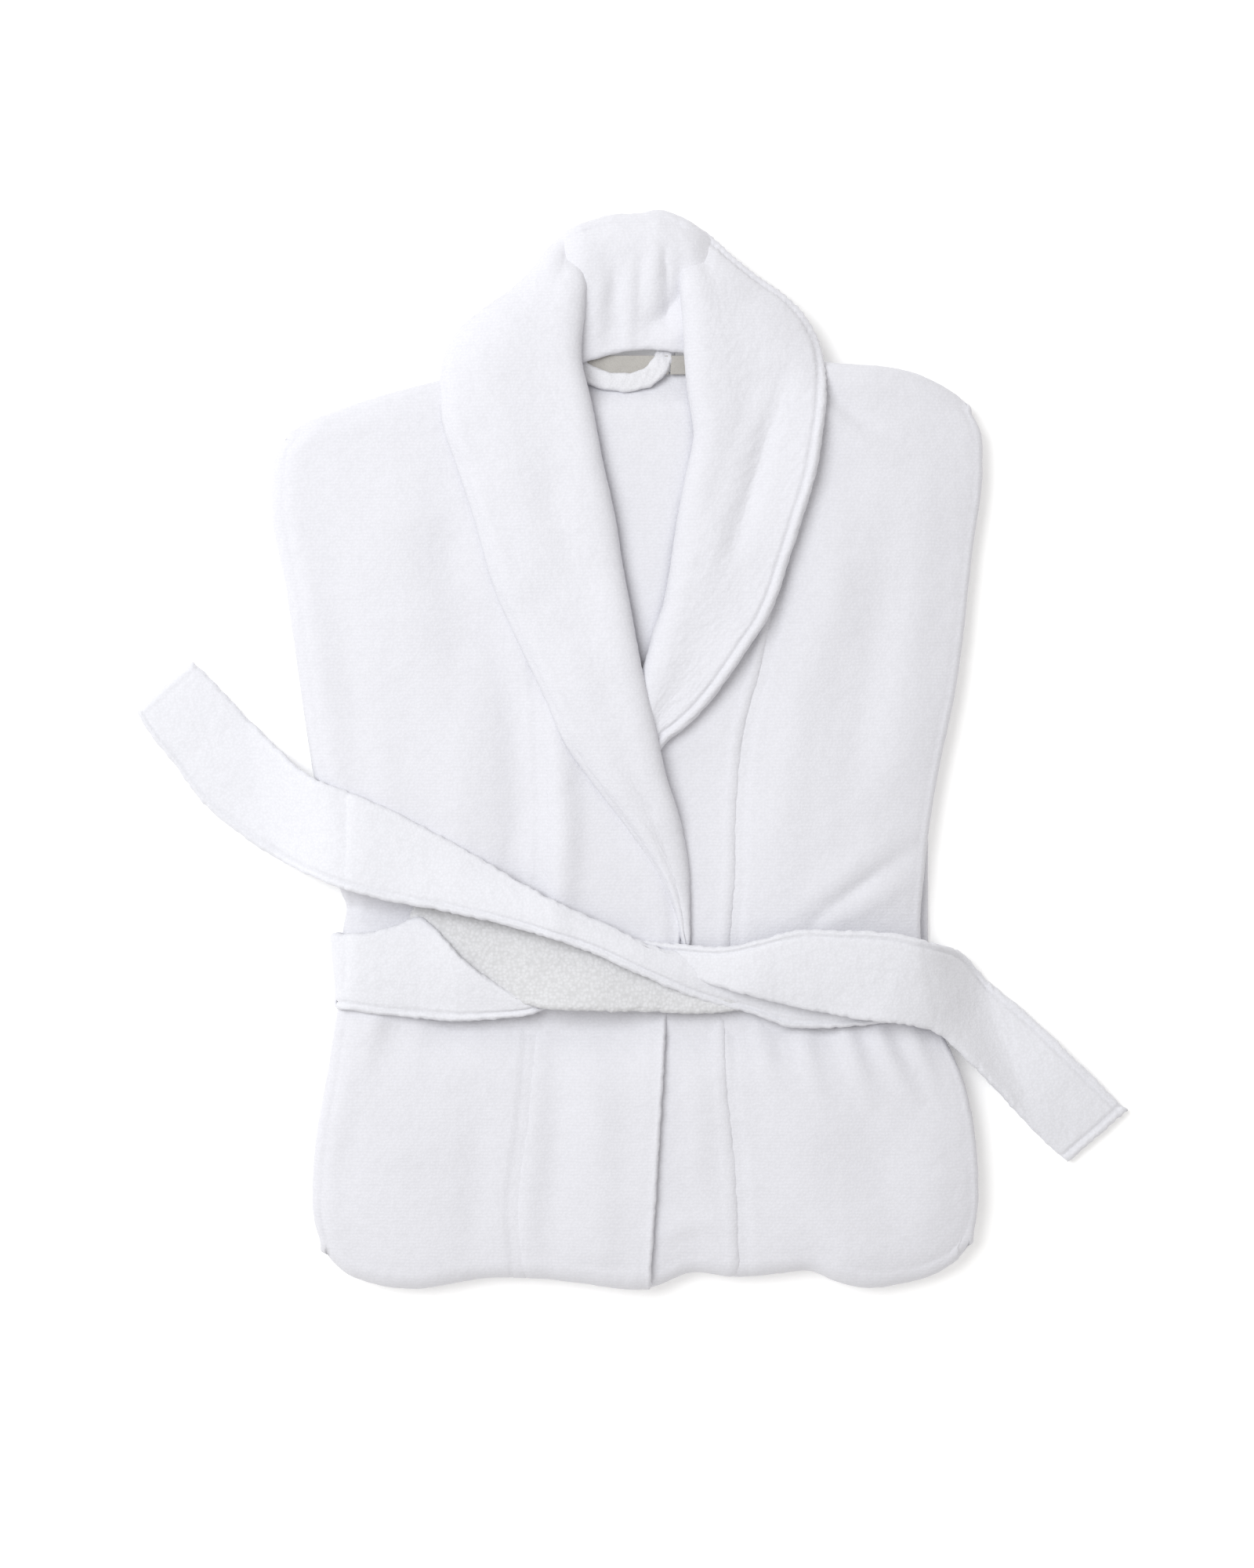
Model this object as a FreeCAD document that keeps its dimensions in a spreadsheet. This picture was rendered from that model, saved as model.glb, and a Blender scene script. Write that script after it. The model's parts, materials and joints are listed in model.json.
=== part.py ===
import FreeCAD, Part
import math
import os

# A terry bathrobe, folded flat with its front up: the sleeves lie behind the back, the skirt is
# folded up behind the torso, and the belt is tied in a loose half knot. The wearer's right is -X,
# the neck is towards +Y, and the table is the plane z = 0. Lengths are in millimetres.
# Plies are stacked upwards: front skirts, back skirt, sleeves and belt, back, fronts, lapels, belt.

doc = FreeCAD.newDocument("bathrobe")
XY, XZ, YZ = "XY_Plane", "XZ_Plane", "YZ_Plane"

DRIVING_SIZES = {
    "half_width": 247,
    "half_height": 378,
    "ply": 4.4,
    "ply_gap": 0.3,
    "layer_gap": 0.4,
    "sleeve_gap": 0.5,
    "sleeve_ply": 8,
    "lapel_ply": 8,
    "belt_width": 58,
    "belt_ply": 6,
    "waist_top": -122,
    "skirt_end": 205,
    "skirt_clearance": 1.6,
    "sleeve_inner": 12,
    "sleeve_outer": 160,
    "sleeve_top": 190,
    "cuff_length": 76,
    "cuff_rise": 8,
    "side_fold_width": 72,
    "right_fold_reach": 193,
    "left_fold_reach": 198,
    "chest_flare": 25,
    "tail_flat_start": 15,
    "tail_slope": 60,
    "loop_ply": 3,
    "loop_gap": 1.3,
    "loop_tape": 11,
    "tape_ply": 1.5,
    "belt_loop_ply": 2,
    "belt_loop_tape": 12,
}

# Heights of the plies above the table, each worked out from the ply below it.
LEVELS = {
    "back_skirt_level": "=ply + ply_gap",
    "sleeve_level": "=back_skirt_level + ply + sleeve_gap",
    "back_level": "=sleeve_level + sleeve_ply + layer_gap",
    "front_level": "=back_level + ply + layer_gap",
    "band_level": "=front_level + ply + layer_gap",
    "left_lapel_level": "=band_level",
    "right_lapel_level": "=band_level + ply + layer_gap",
    "belt_level": "=right_lapel_level",
    "belt_over_level": "=belt_level + belt_ply + ply_gap",
    "tape_level": "=back_level + ply + ply_gap",
    "loop_level": "=tape_level + tape_ply + loop_gap",
    "fold_radius": "=(front_level + ply) / 2",
    "fold_line": "=fold_radius - half_height",
    "waist_bottom": "=waist_top - belt_width",
}


def make_sizes():
    sheet = doc.addObject("Spreadsheet::Sheet", "sizes")
    for row, (alias, value) in enumerate({**DRIVING_SIZES, **LEVELS}.items(), start=1):
        cell = f"A{row}"
        sheet.set(cell, str(value))
        sheet.setAlias(cell, alias)
    doc.recompute()
    return sheet


sizes = make_sizes()


def size(alias):
    return float(getattr(sizes, alias))


def bind(thing, **expressions):
    for name, expression in expressions.items():
        thing.setExpression(name.replace("__", "."), expression)


def at_size(points):
    """Outline points, given as shares of the half width and half height, in millimetres."""
    return [(x * size("half_width"), y * size("half_height")) for x, y in points]


def new_body(label, plane):
    body = doc.addObject("PartDesign::Body", label)
    body.Label = label
    sketch = body.newObject("Sketcher::SketchObject", label + "_outline")
    planes = [f for f in body.Origin.OriginFeatures if f.Role == plane]
    sketch.AttachmentSupport = [(planes[0], "")]
    sketch.MapMode = "FlatFace"
    return body, sketch


def pad(body, sketch, length, both_sides=False):
    feature = body.newObject("PartDesign::Pad", body.Name + "_pad")
    feature.Profile = sketch
    feature.setExpression("Length", length)
    if both_sides:
        feature.SideType = "Symmetric"
    body.Tip = feature
    return feature


def draw(sketch, stretches):
    """Each stretch is a line if it has two points and a smooth curve through them if more."""
    for points in stretches:
        vectors = [FreeCAD.Vector(x, y, 0) for x, y in points]
        if len(vectors) == 2:
            sketch.addGeometry(Part.LineSegment(*vectors))
        else:
            curve = Part.BSplineCurve()
            curve.interpolate(vectors)
            sketch.addGeometry(curve)


def joined(*curves):
    """The curves in order, closed by straight lines wherever one ends away from the next."""
    stretches = []
    for curve, following in zip(curves, curves[1:] + curves[:1]):
        stretches.append(curve)
        if curve[-1] != following[0]:
            stretches.append([curve[-1], following[0]])
    return stretches


def ply_piece(label, curves, level, thickness="sizes.ply"):
    """A flat ply with a curved outline, lying at one of the levels."""
    body, sketch = new_body(label, XY)
    draw(sketch, joined(*curves))
    pad(body, sketch, thickness)
    bind(body, Placement__Base__z=level)
    return body


def slab(label, low, span):
    """A straight-edged ply as a box: its low corner and its span along x, y and z."""
    box = doc.addObject("Part::Box", label)
    box.Label = label
    bind(box, Length=span[0], Width=span[1], Height=span[2])
    bind(box, Placement__Base__x=low[0], Placement__Base__y=low[1], Placement__Base__z=low[2])
    return box


# Shared edges, from the top down, as shares of the half width and half height.
RIGHT_SIDE = [
    (-0.54, 0.68), (-0.82, 0.63), (-0.97, 0.57), (-1.0, 0.50), (-0.955, 0.29), (-0.88, -0.03),
    (-0.81, -0.26), (-0.80, -0.40), (-0.84, -0.58), (-0.89, -0.82), (-0.885, -0.90),
]
LEFT_SIDE = [
    (0.55, 0.715), (0.84, 0.685), (0.97, 0.63), (0.992, 0.53), (0.964, 0.37), (0.91, 0.095),
    (0.86, -0.02), (0.83, -0.20), (0.818, -0.40), (0.87, -0.53), (0.93, -0.61), (0.97, -0.79),
    (0.965, -0.90),
]
RIGHT_BAND_SEAM = [
    (-0.31, 0.32), (-0.25, 0.095), (-0.24, -0.17), (-0.26, -0.32), (-0.28, -0.56), (-0.32, -0.85),
]
LEFT_BAND_SEAM = [
    (0.40, 0.23), (0.365, 0.15), (0.32, 0.04), (0.28, -0.24), (0.25, -0.57), (0.28, -0.78),
]
RIGHT_ROLL = [
    (-0.15, 0.93), (-0.14, 0.72), (-0.08, 0.50), (0.02, 0.23), (0.09, -0.01), (0.16, -0.22),
    (0.165, -0.335),
]
RIGHT_LAPEL_EDGE = [
    (0.145, -0.33), (0.06, -0.21), (-0.11, -0.05), (-0.24, 0.10), (-0.38, 0.30), (-0.50, 0.54),
    (-0.535, 0.69), (-0.50, 0.775), (-0.34, 0.855), (-0.22, 0.925),
]
LEFT_ROLL = [(0.15, 0.93), (0.15, 0.72), (0.175, 0.59), (0.135, 0.38), (0.055, 0.19)]
LEFT_LAPEL_EDGE = [
    (0.105, 0.0), (0.24, 0.125), (0.34, 0.23), (0.48, 0.435), (0.54, 0.64), (0.52, 0.755),
    (0.38, 0.87), (0.22, 0.955),
]
PLACKET = [(0.10, -0.35), (0.10, -0.49), (0.075, -0.76), (0.06, -0.90)]


def fold_share():
    return size("fold_line") / size("half_height")


def down_to_fold(points):
    """An edge carried straight on down to the fold line."""
    return at_size(points + [(points[-1][0], fold_share())])


def make_back_panel():
    neck = at_size([(0.55, 0.715), (0.25, 0.732), (-0.25, 0.728), (-0.54, 0.68)])
    right = down_to_fold(RIGHT_SIDE)
    left = down_to_fold(LEFT_SIDE)
    return ply_piece("back_panel", [right, left[::-1], neck], "sizes.back_level")


def make_front_panels():
    right_shoulder = at_size([(-0.45, 0.69), (-0.54, 0.68)])
    right_inner = down_to_fold([(-0.45, 0.69), (-0.41, 0.54)] + RIGHT_BAND_SEAM)
    right = [down_to_fold(RIGHT_SIDE), right_inner[::-1], right_shoulder]
    left_shoulder = at_size([(0.55, 0.715), (0.45, 0.72)])
    left_inner = down_to_fold([(0.45, 0.72), (0.41, 0.40)] + LEFT_BAND_SEAM)
    left = [down_to_fold(LEFT_SIDE)[::-1], left_shoulder, left_inner]
    return [
        ply_piece("right_front_panel", right, "sizes.front_level"),
        ply_piece("left_front_panel", left, "sizes.front_level"),
    ]


def make_bands():
    seam_gap = 0.002
    right_seam = down_to_fold([(x + seam_gap, y) for x, y in RIGHT_BAND_SEAM])
    opening = at_size([(-0.02, 0.30), (0.075, -0.01), (0.14, -0.22), (0.10, -0.35)])
    free_edge = down_to_fold(PLACKET)
    right = [right_seam[::-1], opening, free_edge]
    left_seam = down_to_fold([(x - seam_gap, y) for x, y in LEFT_BAND_SEAM])
    covered = at_size([(0.05, 0.23), (-0.16, -0.10), (-0.16, fold_share())])
    left = [left_seam[::-1], covered]
    return [
        ply_piece("right_front_band", right, "sizes.band_level"),
        ply_piece("left_front_band", left, "sizes.front_level"),
    ]


def make_lapels():
    right = [at_size(RIGHT_ROLL), at_size(RIGHT_LAPEL_EDGE)]
    left = [at_size(LEFT_ROLL), at_size(LEFT_LAPEL_EDGE)]
    return [
        ply_piece("right_lapel", right, "sizes.right_lapel_level", "sizes.lapel_ply"),
        ply_piece("left_lapel", left, "sizes.left_lapel_level", "sizes.lapel_ply"),
    ]


def make_collar_back():
    """The back of the collar stands behind the neck seam and leans down to the table."""
    top = at_size([
        (0.42, 0.745), (0.40, 0.85), (0.24, 0.945), (0.11, 0.985), (0.0, 0.998), (-0.11, 0.985),
        (-0.24, 0.945), (-0.38, 0.85), (-0.40, 0.745),
    ])
    return ply_piece("collar_back", [top], "0 mm", "sizes.back_level + sizes.ply")


def make_neck_trim():
    tape = slab(
        "neck_tape",
        ("-0.13 * sizes.half_width", "0.70 * sizes.half_height", "sizes.tape_level"),
        ("0.235 * sizes.half_width", "0.025 * sizes.half_height", "sizes.tape_ply"),
    )
    label = slab(
        "neck_label",
        ("0.11 * sizes.half_width", "0.70 * sizes.half_height", "sizes.tape_level"),
        ("0.08 * sizes.half_width", "0.025 * sizes.half_height", "sizes.tape_ply"),
    )
    return [tape, label]


def arc_from_chord(start, end, sag):
    """The arc that hangs below the chord from start to end, as centre and radius."""
    half_chord = math.hypot(end[0] - start[0], end[1] - start[1]) / 2
    radius = (half_chord**2 + sag**2) / (2 * sag)
    middle = ((start[0] + end[0]) / 2, (start[1] + end[1]) / 2)
    along = ((end[0] - start[0]) / 2 / half_chord, (end[1] - start[1]) / 2 / half_chord)
    up = (-along[1], along[0])
    rise = radius - sag
    return (middle[0] + up[0] * rise, middle[1] + up[1] * rise), radius, along


def make_hang_loop():
    """A terry tape whose two ends are sewn into the neck seam, hanging down in an arc."""
    start, end = at_size([(-0.125, 0.709), (0.095, 0.733)])
    sag = 0.042 * size("half_height")
    centre, radius, along = arc_from_chord(start, end, sag)
    chord_height = radius - sag
    body, sketch = new_body("hang_loop", XY)
    ends = []
    for ring in (radius + size("loop_tape") / 2, radius - size("loop_tape") / 2):
        half_chord = math.sqrt(ring**2 - chord_height**2)
        foot = (centre[0] + along[1] * chord_height, centre[1] - along[0] * chord_height)
        left = (foot[0] - along[0] * half_chord, foot[1] - along[1] * half_chord)
        right = (foot[0] + along[0] * half_chord, foot[1] + along[1] * half_chord)
        lowest = (centre[0] + along[1] * ring, centre[1] - along[0] * ring)
        vectors = [FreeCAD.Vector(x, y, 0) for x, y in (left, lowest, right)]
        sketch.addGeometry(Part.Arc(*vectors))
        ends.append((left, right))
    (outer_left, outer_right), (inner_left, inner_right) = ends
    draw(sketch, [[outer_left, inner_left], [inner_right, outer_right]])
    pad(body, sketch, "sizes.loop_ply")
    bind(body, Placement__Base__z="sizes.loop_level")
    return body


def make_sleeves():
    """The sleeves lie side by side behind the back, each ending in a turned-back cuff."""
    pieces = []
    cuff_end = "(sizes.waist_top + sizes.cuff_rise)"
    sleeve_end = f"({cuff_end} + sizes.cuff_length + sizes.ply_gap)"
    width = "sizes.sleeve_outer - sizes.sleeve_inner"
    for side, inner in (("right", "-sizes.sleeve_outer"), ("left", "sizes.sleeve_inner")):
        pieces.append(slab(
            f"{side}_sleeve",
            (inner, sleeve_end, "sizes.sleeve_level"),
            (width, f"sizes.sleeve_top - {sleeve_end}", "sizes.sleeve_ply"),
        ))
        pieces.append(slab(
            f"{side}_cuff",
            (inner, cuff_end, "sizes.sleeve_level"),
            (width, "sizes.cuff_length", "sizes.sleeve_ply"),
        ))
    return pieces


def make_side_folds():
    """The strips of the body that are folded in behind at each side."""
    pieces = []
    stretches = {"upper_side_fold": (0.50, -0.30), "lower_side_fold": (-0.50, -0.93)}
    beside_sleeve = size("sleeve_outer") + 1
    for side, sign in (("right", -1), ("left", 1)):
        for name, (top, bottom) in stretches.items():
            half_waist = size(f"{side}_fold_reach")
            top_outer = half_waist
            inner = half_waist - size("side_fold_width")
            if name.startswith("upper"):
                top_outer += size("chest_flare")
                inner = max(inner, beside_sleeve)
            high = top * size("half_height")
            low = bottom * size("half_height")
            corners = [(inner, high), (top_outer, high), (half_waist, low), (inner, low)]
            corners = [(sign * x, y) for x, y in corners]
            edges = [[a, b] for a, b in zip(corners, corners[1:] + corners[:1])]
            pieces.append(ply_piece(
                f"{side}_{name}", edges, "sizes.sleeve_level", "sizes.sleeve_ply",
            ))
    return pieces


def make_fold(label, left_end, right_end, outer, inner):
    """A ply turning under at the bottom of the folded robe, as half a ring."""
    body, sketch = new_body(label, YZ)
    centre_y, centre_z = size("fold_line"), size("fold_radius")
    for radius in (outer, inner):
        top = FreeCAD.Vector(centre_y, centre_z + radius, 0)
        side = FreeCAD.Vector(centre_y - radius, centre_z, 0)
        bottom = FreeCAD.Vector(centre_y, centre_z - radius, 0)
        sketch.addGeometry(Part.Arc(top, side, bottom))
    for sign in (1, -1):
        ends = [(centre_y, centre_z + sign * outer), (centre_y, centre_z + sign * inner)]
        draw(sketch, [ends])
    pad(body, sketch, f"{right_end - left_end} * sizes.half_width")
    bind(body, Placement__Base__x=f"{left_end} * sizes.half_width")
    return body


def make_folds():
    front_outer = size("fold_radius")
    front_inner = front_outer - size("ply")
    back_outer = front_inner - size("layer_gap")
    back_inner = front_outer - size("back_skirt_level") - size("ply")
    return [
        make_fold("right_front_fold", -0.86, 0.058, front_outer, front_inner),
        make_fold("left_front_fold", 0.062, 0.93, front_outer, front_inner),
        make_fold("back_fold", -0.84, 0.90, back_outer, back_inner),
    ]


def make_skirt():
    """The lower skirt, folded up behind the torso."""
    top = size("skirt_end") / size("half_height")
    start = fold_share() + size("skirt_clearance") / size("half_height")
    right_edge = [(-0.83, top), (-0.80, 0.20), (-0.76, -0.40), (-0.80, -0.60), (-0.85, start)]
    left_edge = [(0.83, top), (0.80, 0.20), (0.77, -0.40), (0.82, -0.60), (0.91, start)]
    band_edges = (-0.32, 0.06)
    gap = 0.001

    def strip(label, left, right, level):
        return ply_piece(label, [at_size(left), at_size(right)[::-1]], level)

    def straight(x):
        return [(x, top), (x, start)]

    return [
        strip("right_front_skirt", right_edge, straight(band_edges[0] - gap), "0 mm"),
        strip("right_skirt_band", straight(band_edges[0]), straight(band_edges[1]), "0 mm"),
        strip("left_front_skirt", straight(band_edges[1] + gap), left_edge, "0 mm"),
        strip("back_skirt", right_edge, left_edge, "sizes.back_skirt_level"),
    ]


BELT_SIDES = {"right": -0.825, "left": 0.86}


def make_belt_wrap():
    """The belt behind the waist and its two turns round the sides."""
    right = f"({BELT_SIDES['right']} * sizes.half_width)"
    left = f"({BELT_SIDES['left']} * sizes.half_width)"
    back = slab(
        "belt_back",
        (right, "sizes.waist_bottom", "sizes.sleeve_level"),
        (f"{left} - {right}", "sizes.belt_width", "sizes.belt_ply"),
    )
    pieces = [back]
    height = "sizes.belt_level + sizes.belt_ply - sizes.sleeve_level"
    for side, corner in (("right", f"{right} - sizes.belt_ply"), ("left", left)):
        pieces.append(slab(
            f"{side}_belt_turn",
            (corner, "sizes.waist_bottom", "sizes.sleeve_level"),
            ("sizes.belt_ply", "sizes.belt_width", height),
        ))
    return pieces


def make_belt_strands():
    """The four runs of the belt across the front, two on the robe and two over them."""
    waist_right = [
        (-0.81, -0.323), (-0.81, -0.476), (-0.45, -0.492), (0.11, -0.455), (0.11, -0.37),
        (-0.12, -0.36), (-0.45, -0.323),
    ]
    waist_left = [
        (0.135, -0.40), (0.84, -0.34), (0.84, -0.476), (0.60, -0.508), (0.40, -0.508),
        (0.135, -0.455),
    ]
    over_right = [
        (-0.841, -0.083), (-0.997, -0.197), (-0.79, -0.254), (-0.55, -0.299), (-0.32, -0.33),
        (-0.11, -0.384), (0.12, -0.455), (0.12, -0.385), (-0.11, -0.30), (-0.36, -0.20),
        (-0.61, -0.135),
    ]
    over_left = [
        (0.135, -0.363), (0.275, -0.363), (0.46, -0.328), (0.76, -0.336), (0.87, -0.357),
        (0.968, -0.387), (0.806, -0.498), (0.57, -0.487), (0.34, -0.452), (0.135, -0.41),
    ]
    strands = {
        "belt_waist_right": (waist_right, "sizes.belt_level"),
        "belt_waist_left": (waist_left, "sizes.belt_level"),
        "belt_over_right": (over_right, "sizes.belt_over_level"),
        "belt_over_left": (over_left, "sizes.belt_over_level"),
    }
    pieces = []
    for label, (outline, level) in strands.items():
        corners = at_size(outline)
        edges = [[a, b] for a, b in zip(corners, corners[1:] + corners[:1])]
        pieces.append(ply_piece(label, edges, level, "sizes.belt_ply"))
    return pieces


# Each tail: where it leaves the robe's edge, and the middle of its end.
TAILS = {
    "belt_right_tail": ((-0.931, -0.132), (-1.336, 0.122)),
    "belt_left_tail": ((0.903, -0.450), (1.336, -0.715)),
}


def make_belt_tails():
    """The free ends of the belt: off the edge of the robe, down to the table, and along it."""
    pieces = []
    ply = size("belt_ply")
    top = size("belt_over_level") + ply
    flat = size("tail_flat_start")
    run = (top - ply) / math.tan(math.radians(size("tail_slope")))
    shift = ply * math.tan(math.radians(size("tail_slope") / 2))
    for label, places in TAILS.items():
        (start_x, start_y), (end_x, end_y) = at_size(places)
        length = math.hypot(end_x - start_x, end_y - start_y)
        corners = [
            (0, top - ply), (flat, top - ply), (flat + run, 0), (length, 0), (length, ply),
            (flat + run + shift, ply), (flat + shift, top), (0, top),
        ]
        body, sketch = new_body(label, XZ)
        draw(sketch, [[a, b] for a, b in zip(corners, corners[1:] + corners[:1])])
        pad(body, sketch, "sizes.belt_width", both_sides=True)
        heading = math.degrees(math.atan2(end_y - start_y, end_x - start_x))
        turn = FreeCAD.Rotation(FreeCAD.Vector(0, 0, 1), heading)
        body.Placement = FreeCAD.Placement(FreeCAD.Vector(start_x, start_y, 0), turn)
        pieces.append(body)
    return pieces


def make_belt_loops():
    """Tape loops sewn to the side seams, round the outside of the belt."""
    pieces = []
    clearance = 0.4
    tape = size("belt_loop_ply")
    top = size("waist_top") + clearance
    bottom = size("waist_bottom") - clearance
    for side, share in BELT_SIDES.items():
        sign = math.copysign(1, share)
        seam = abs(share) * size("half_width")
        outside = seam + size("belt_ply") + clearance
        corners = [
            (seam, top), (outside, top), (outside, bottom), (seam, bottom), (seam, bottom - tape),
            (outside + tape, bottom - tape), (outside + tape, top + tape), (seam, top + tape),
        ]
        corners = [(sign * x, y) for x, y in corners]
        edges = [[a, b] for a, b in zip(corners, corners[1:] + corners[:1])]
        pieces.append(ply_piece(
            f"{side}_belt_loop", edges, "sizes.sleeve_level", "sizes.belt_loop_tape",
        ))
    return pieces


def check_document():
    doc.recompute()
    for thing in doc.Objects:
        faults = {"Invalid", "Error"} & set(thing.State)
        if faults:
            raise RuntimeError(f"{thing.Label}: {thing.State}")


def export(pieces):
    os.makedirs("parts", exist_ok=True)
    for piece in pieces:
        shape = piece.Shape
        if shape.isNull() or not shape.isValid() or shape.Volume <= 0:
            raise RuntimeError(f"{piece.Label} has no sound shape")
        shape.exportStep(f"parts/{piece.Label}.step")
        print(f"{piece.Label}: {shape.Volume / 1000:.1f} cm3")


pieces = [make_back_panel(), make_collar_back(), make_hang_loop()]
pieces += make_front_panels() + make_bands() + make_lapels() + make_neck_trim()
pieces += make_sleeves() + make_side_folds() + make_folds() + make_skirt()
pieces += make_belt_wrap() + make_belt_strands() + make_belt_tails() + make_belt_loops()
check_document()
export(pieces)
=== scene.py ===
import json
import math

import bpy
import numpy as np
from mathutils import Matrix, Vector


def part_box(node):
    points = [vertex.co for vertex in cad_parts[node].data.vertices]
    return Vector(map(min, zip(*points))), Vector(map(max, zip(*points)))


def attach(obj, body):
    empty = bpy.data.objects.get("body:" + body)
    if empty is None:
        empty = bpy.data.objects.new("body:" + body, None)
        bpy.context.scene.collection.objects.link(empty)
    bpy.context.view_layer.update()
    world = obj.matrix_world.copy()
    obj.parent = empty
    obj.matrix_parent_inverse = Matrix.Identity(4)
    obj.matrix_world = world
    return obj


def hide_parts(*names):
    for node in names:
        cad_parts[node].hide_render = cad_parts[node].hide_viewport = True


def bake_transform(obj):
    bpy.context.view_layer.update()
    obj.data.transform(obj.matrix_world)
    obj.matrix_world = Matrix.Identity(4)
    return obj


# A folded terry bathrobe, seen from straight above. Shapes are worked out in millimetres in the
# frame's own axes (x to the wearer's left, y to the neck, z up) and turned into metres when a
# mesh is made. The wearer's right is -x.

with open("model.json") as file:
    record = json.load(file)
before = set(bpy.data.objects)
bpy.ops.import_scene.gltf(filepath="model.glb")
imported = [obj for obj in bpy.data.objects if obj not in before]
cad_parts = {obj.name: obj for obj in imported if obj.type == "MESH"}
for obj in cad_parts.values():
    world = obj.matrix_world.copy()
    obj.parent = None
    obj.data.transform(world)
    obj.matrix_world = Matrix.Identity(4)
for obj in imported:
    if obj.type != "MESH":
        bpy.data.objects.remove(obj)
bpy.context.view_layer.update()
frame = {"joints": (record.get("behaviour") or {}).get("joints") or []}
MM = 0.001


def low(node, axis):
    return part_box(node)[0][axis] / MM


def high(node, axis):
    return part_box(node)[1][axis] / MM


HALF_W = -low("back_panel", 0)
HALF_H = -low("right_front_fold", 1)
PLY = high("back_skirt", 2) - low("back_skirt", 2)
FRONT_TOP = high("right_front_panel", 2)
SKIRT_END = high("back_skirt", 1)
BELT_PLY = high("belt_back", 2) - low("belt_back", 2)
BELT_BACK = low("belt_back", 2) + BELT_PLY / 2
WAIST_TOP = high("belt_back", 1)
WAIST_LOW = low("belt_back", 1)


# ---- numbers and curves

def step(start, end, x):
    """0 before start, 1 after end, and smooth between."""
    t = np.clip((np.asarray(x, float) - start) / (end - start), 0, 1)
    return t * t * (3 - 2 * t)


def bump(x, middle, width):
    return np.exp(-(((np.asarray(x, float) - middle) / width) ** 2))


def round_edge(distance, radius):
    """A quarter circle: 0 at the edge, 1 from a radius in."""
    t = np.clip(np.asarray(distance, float) / radius, 0, 1)
    return np.sqrt(1 - (1 - t) ** 2)


def curve(points):
    """A smooth curve through the points, as a function of 0 to 1 along its length."""
    p = np.array(points, float)
    chord = np.concatenate([[0], np.cumsum(np.linalg.norm(np.diff(p, axis=0), axis=1))])
    chord /= chord[-1]
    slope = np.gradient(p, chord, axis=0, edge_order=1)

    def at(t):
        t = np.clip(np.asarray(t, float), 0, 1)
        i = np.clip(np.searchsorted(chord, t, side="right") - 1, 0, len(p) - 2)
        span = (chord[i + 1] - chord[i])[..., None]
        s = ((t - chord[i]) / (chord[i + 1] - chord[i]))[..., None]
        a = (2 * s**3 - 3 * s**2 + 1) * p[i] + (s**3 - 2 * s**2 + s) * span * slope[i]
        b = (3 * s**2 - 2 * s**3) * p[i + 1] + (s**3 - s**2) * span * slope[i + 1]
        return a + b

    return at


def scaled(points):
    """Points given as shares of the half width and half height, in millimetres."""
    return [(x * HALF_W, y * HALF_H) for x, y in points]


def edge_function(points, known):
    """A smooth edge as a function of the axis that is known: 0 for x, 1 for y."""
    dense = curve(scaled(points))(np.linspace(0, 1, 400))
    dense = dense[np.argsort(dense[:, known])]
    return lambda place: np.interp(place, dense[:, known], dense[:, 1 - known])


def x_of_y(points):
    """An edge that runs up or down the robe, as x against y."""
    return edge_function(points, 1)


def y_of_x(points):
    """An edge that runs across the robe, as y against x."""
    return edge_function(points, 0)


def noise(a, b, size, seed):
    """Smooth noise from -1 to 1 whose features are about size across."""
    cells = 256
    away_from_zero = 1000.5
    grid = np.random.default_rng(seed).uniform(-1, 1, (cells, cells))
    a = np.asarray(a, float) / size + away_from_zero
    b = np.asarray(b, float) / size + away_from_zero
    i, j = np.floor(a).astype(int), np.floor(b).astype(int)
    s, t = a - i, b - j
    s, t = s * s * (3 - 2 * s), t * t * (3 - 2 * t)
    i0, i1, j0, j1 = i % cells, (i + 1) % cells, j % cells, (j + 1) % cells
    top = grid[i0, j0] * (1 - s) + grid[i1, j0] * s
    bottom = grid[i0, j1] * (1 - s) + grid[i1, j1] * s
    return top * (1 - t) + bottom * t


def ridge(x, y, points, width, height):
    """A soft fold along a line of (x, y, strength) points."""
    best = np.full(np.broadcast(x, y).shape, np.inf)
    strength = np.zeros(best.shape)
    for (ax, ay, sa), (bx, by, sb) in zip(points, points[1:]):
        dx, dy = bx - ax, by - ay
        t = np.clip(((x - ax) * dx + (y - ay) * dy) / (dx * dx + dy * dy), 0, 1)
        d = np.hypot(x - ax - t * dx, y - ay - t * dy)
        nearer = d < best
        best = np.where(nearer, d, best)
        strength = np.where(nearer, sa + (sb - sa) * t, strength)
    return height * strength * np.exp(-((best / width) ** 2))


def ridges(x, y, folds):
    """Many soft folds, each given as its line of points, its width and its height."""
    total = np.zeros(np.broadcast(x, y).shape)
    for line, width, height in folds:
        total = total + ridge(x, y, line, width, height)
    return total


# ---- outlines of the robe

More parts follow.
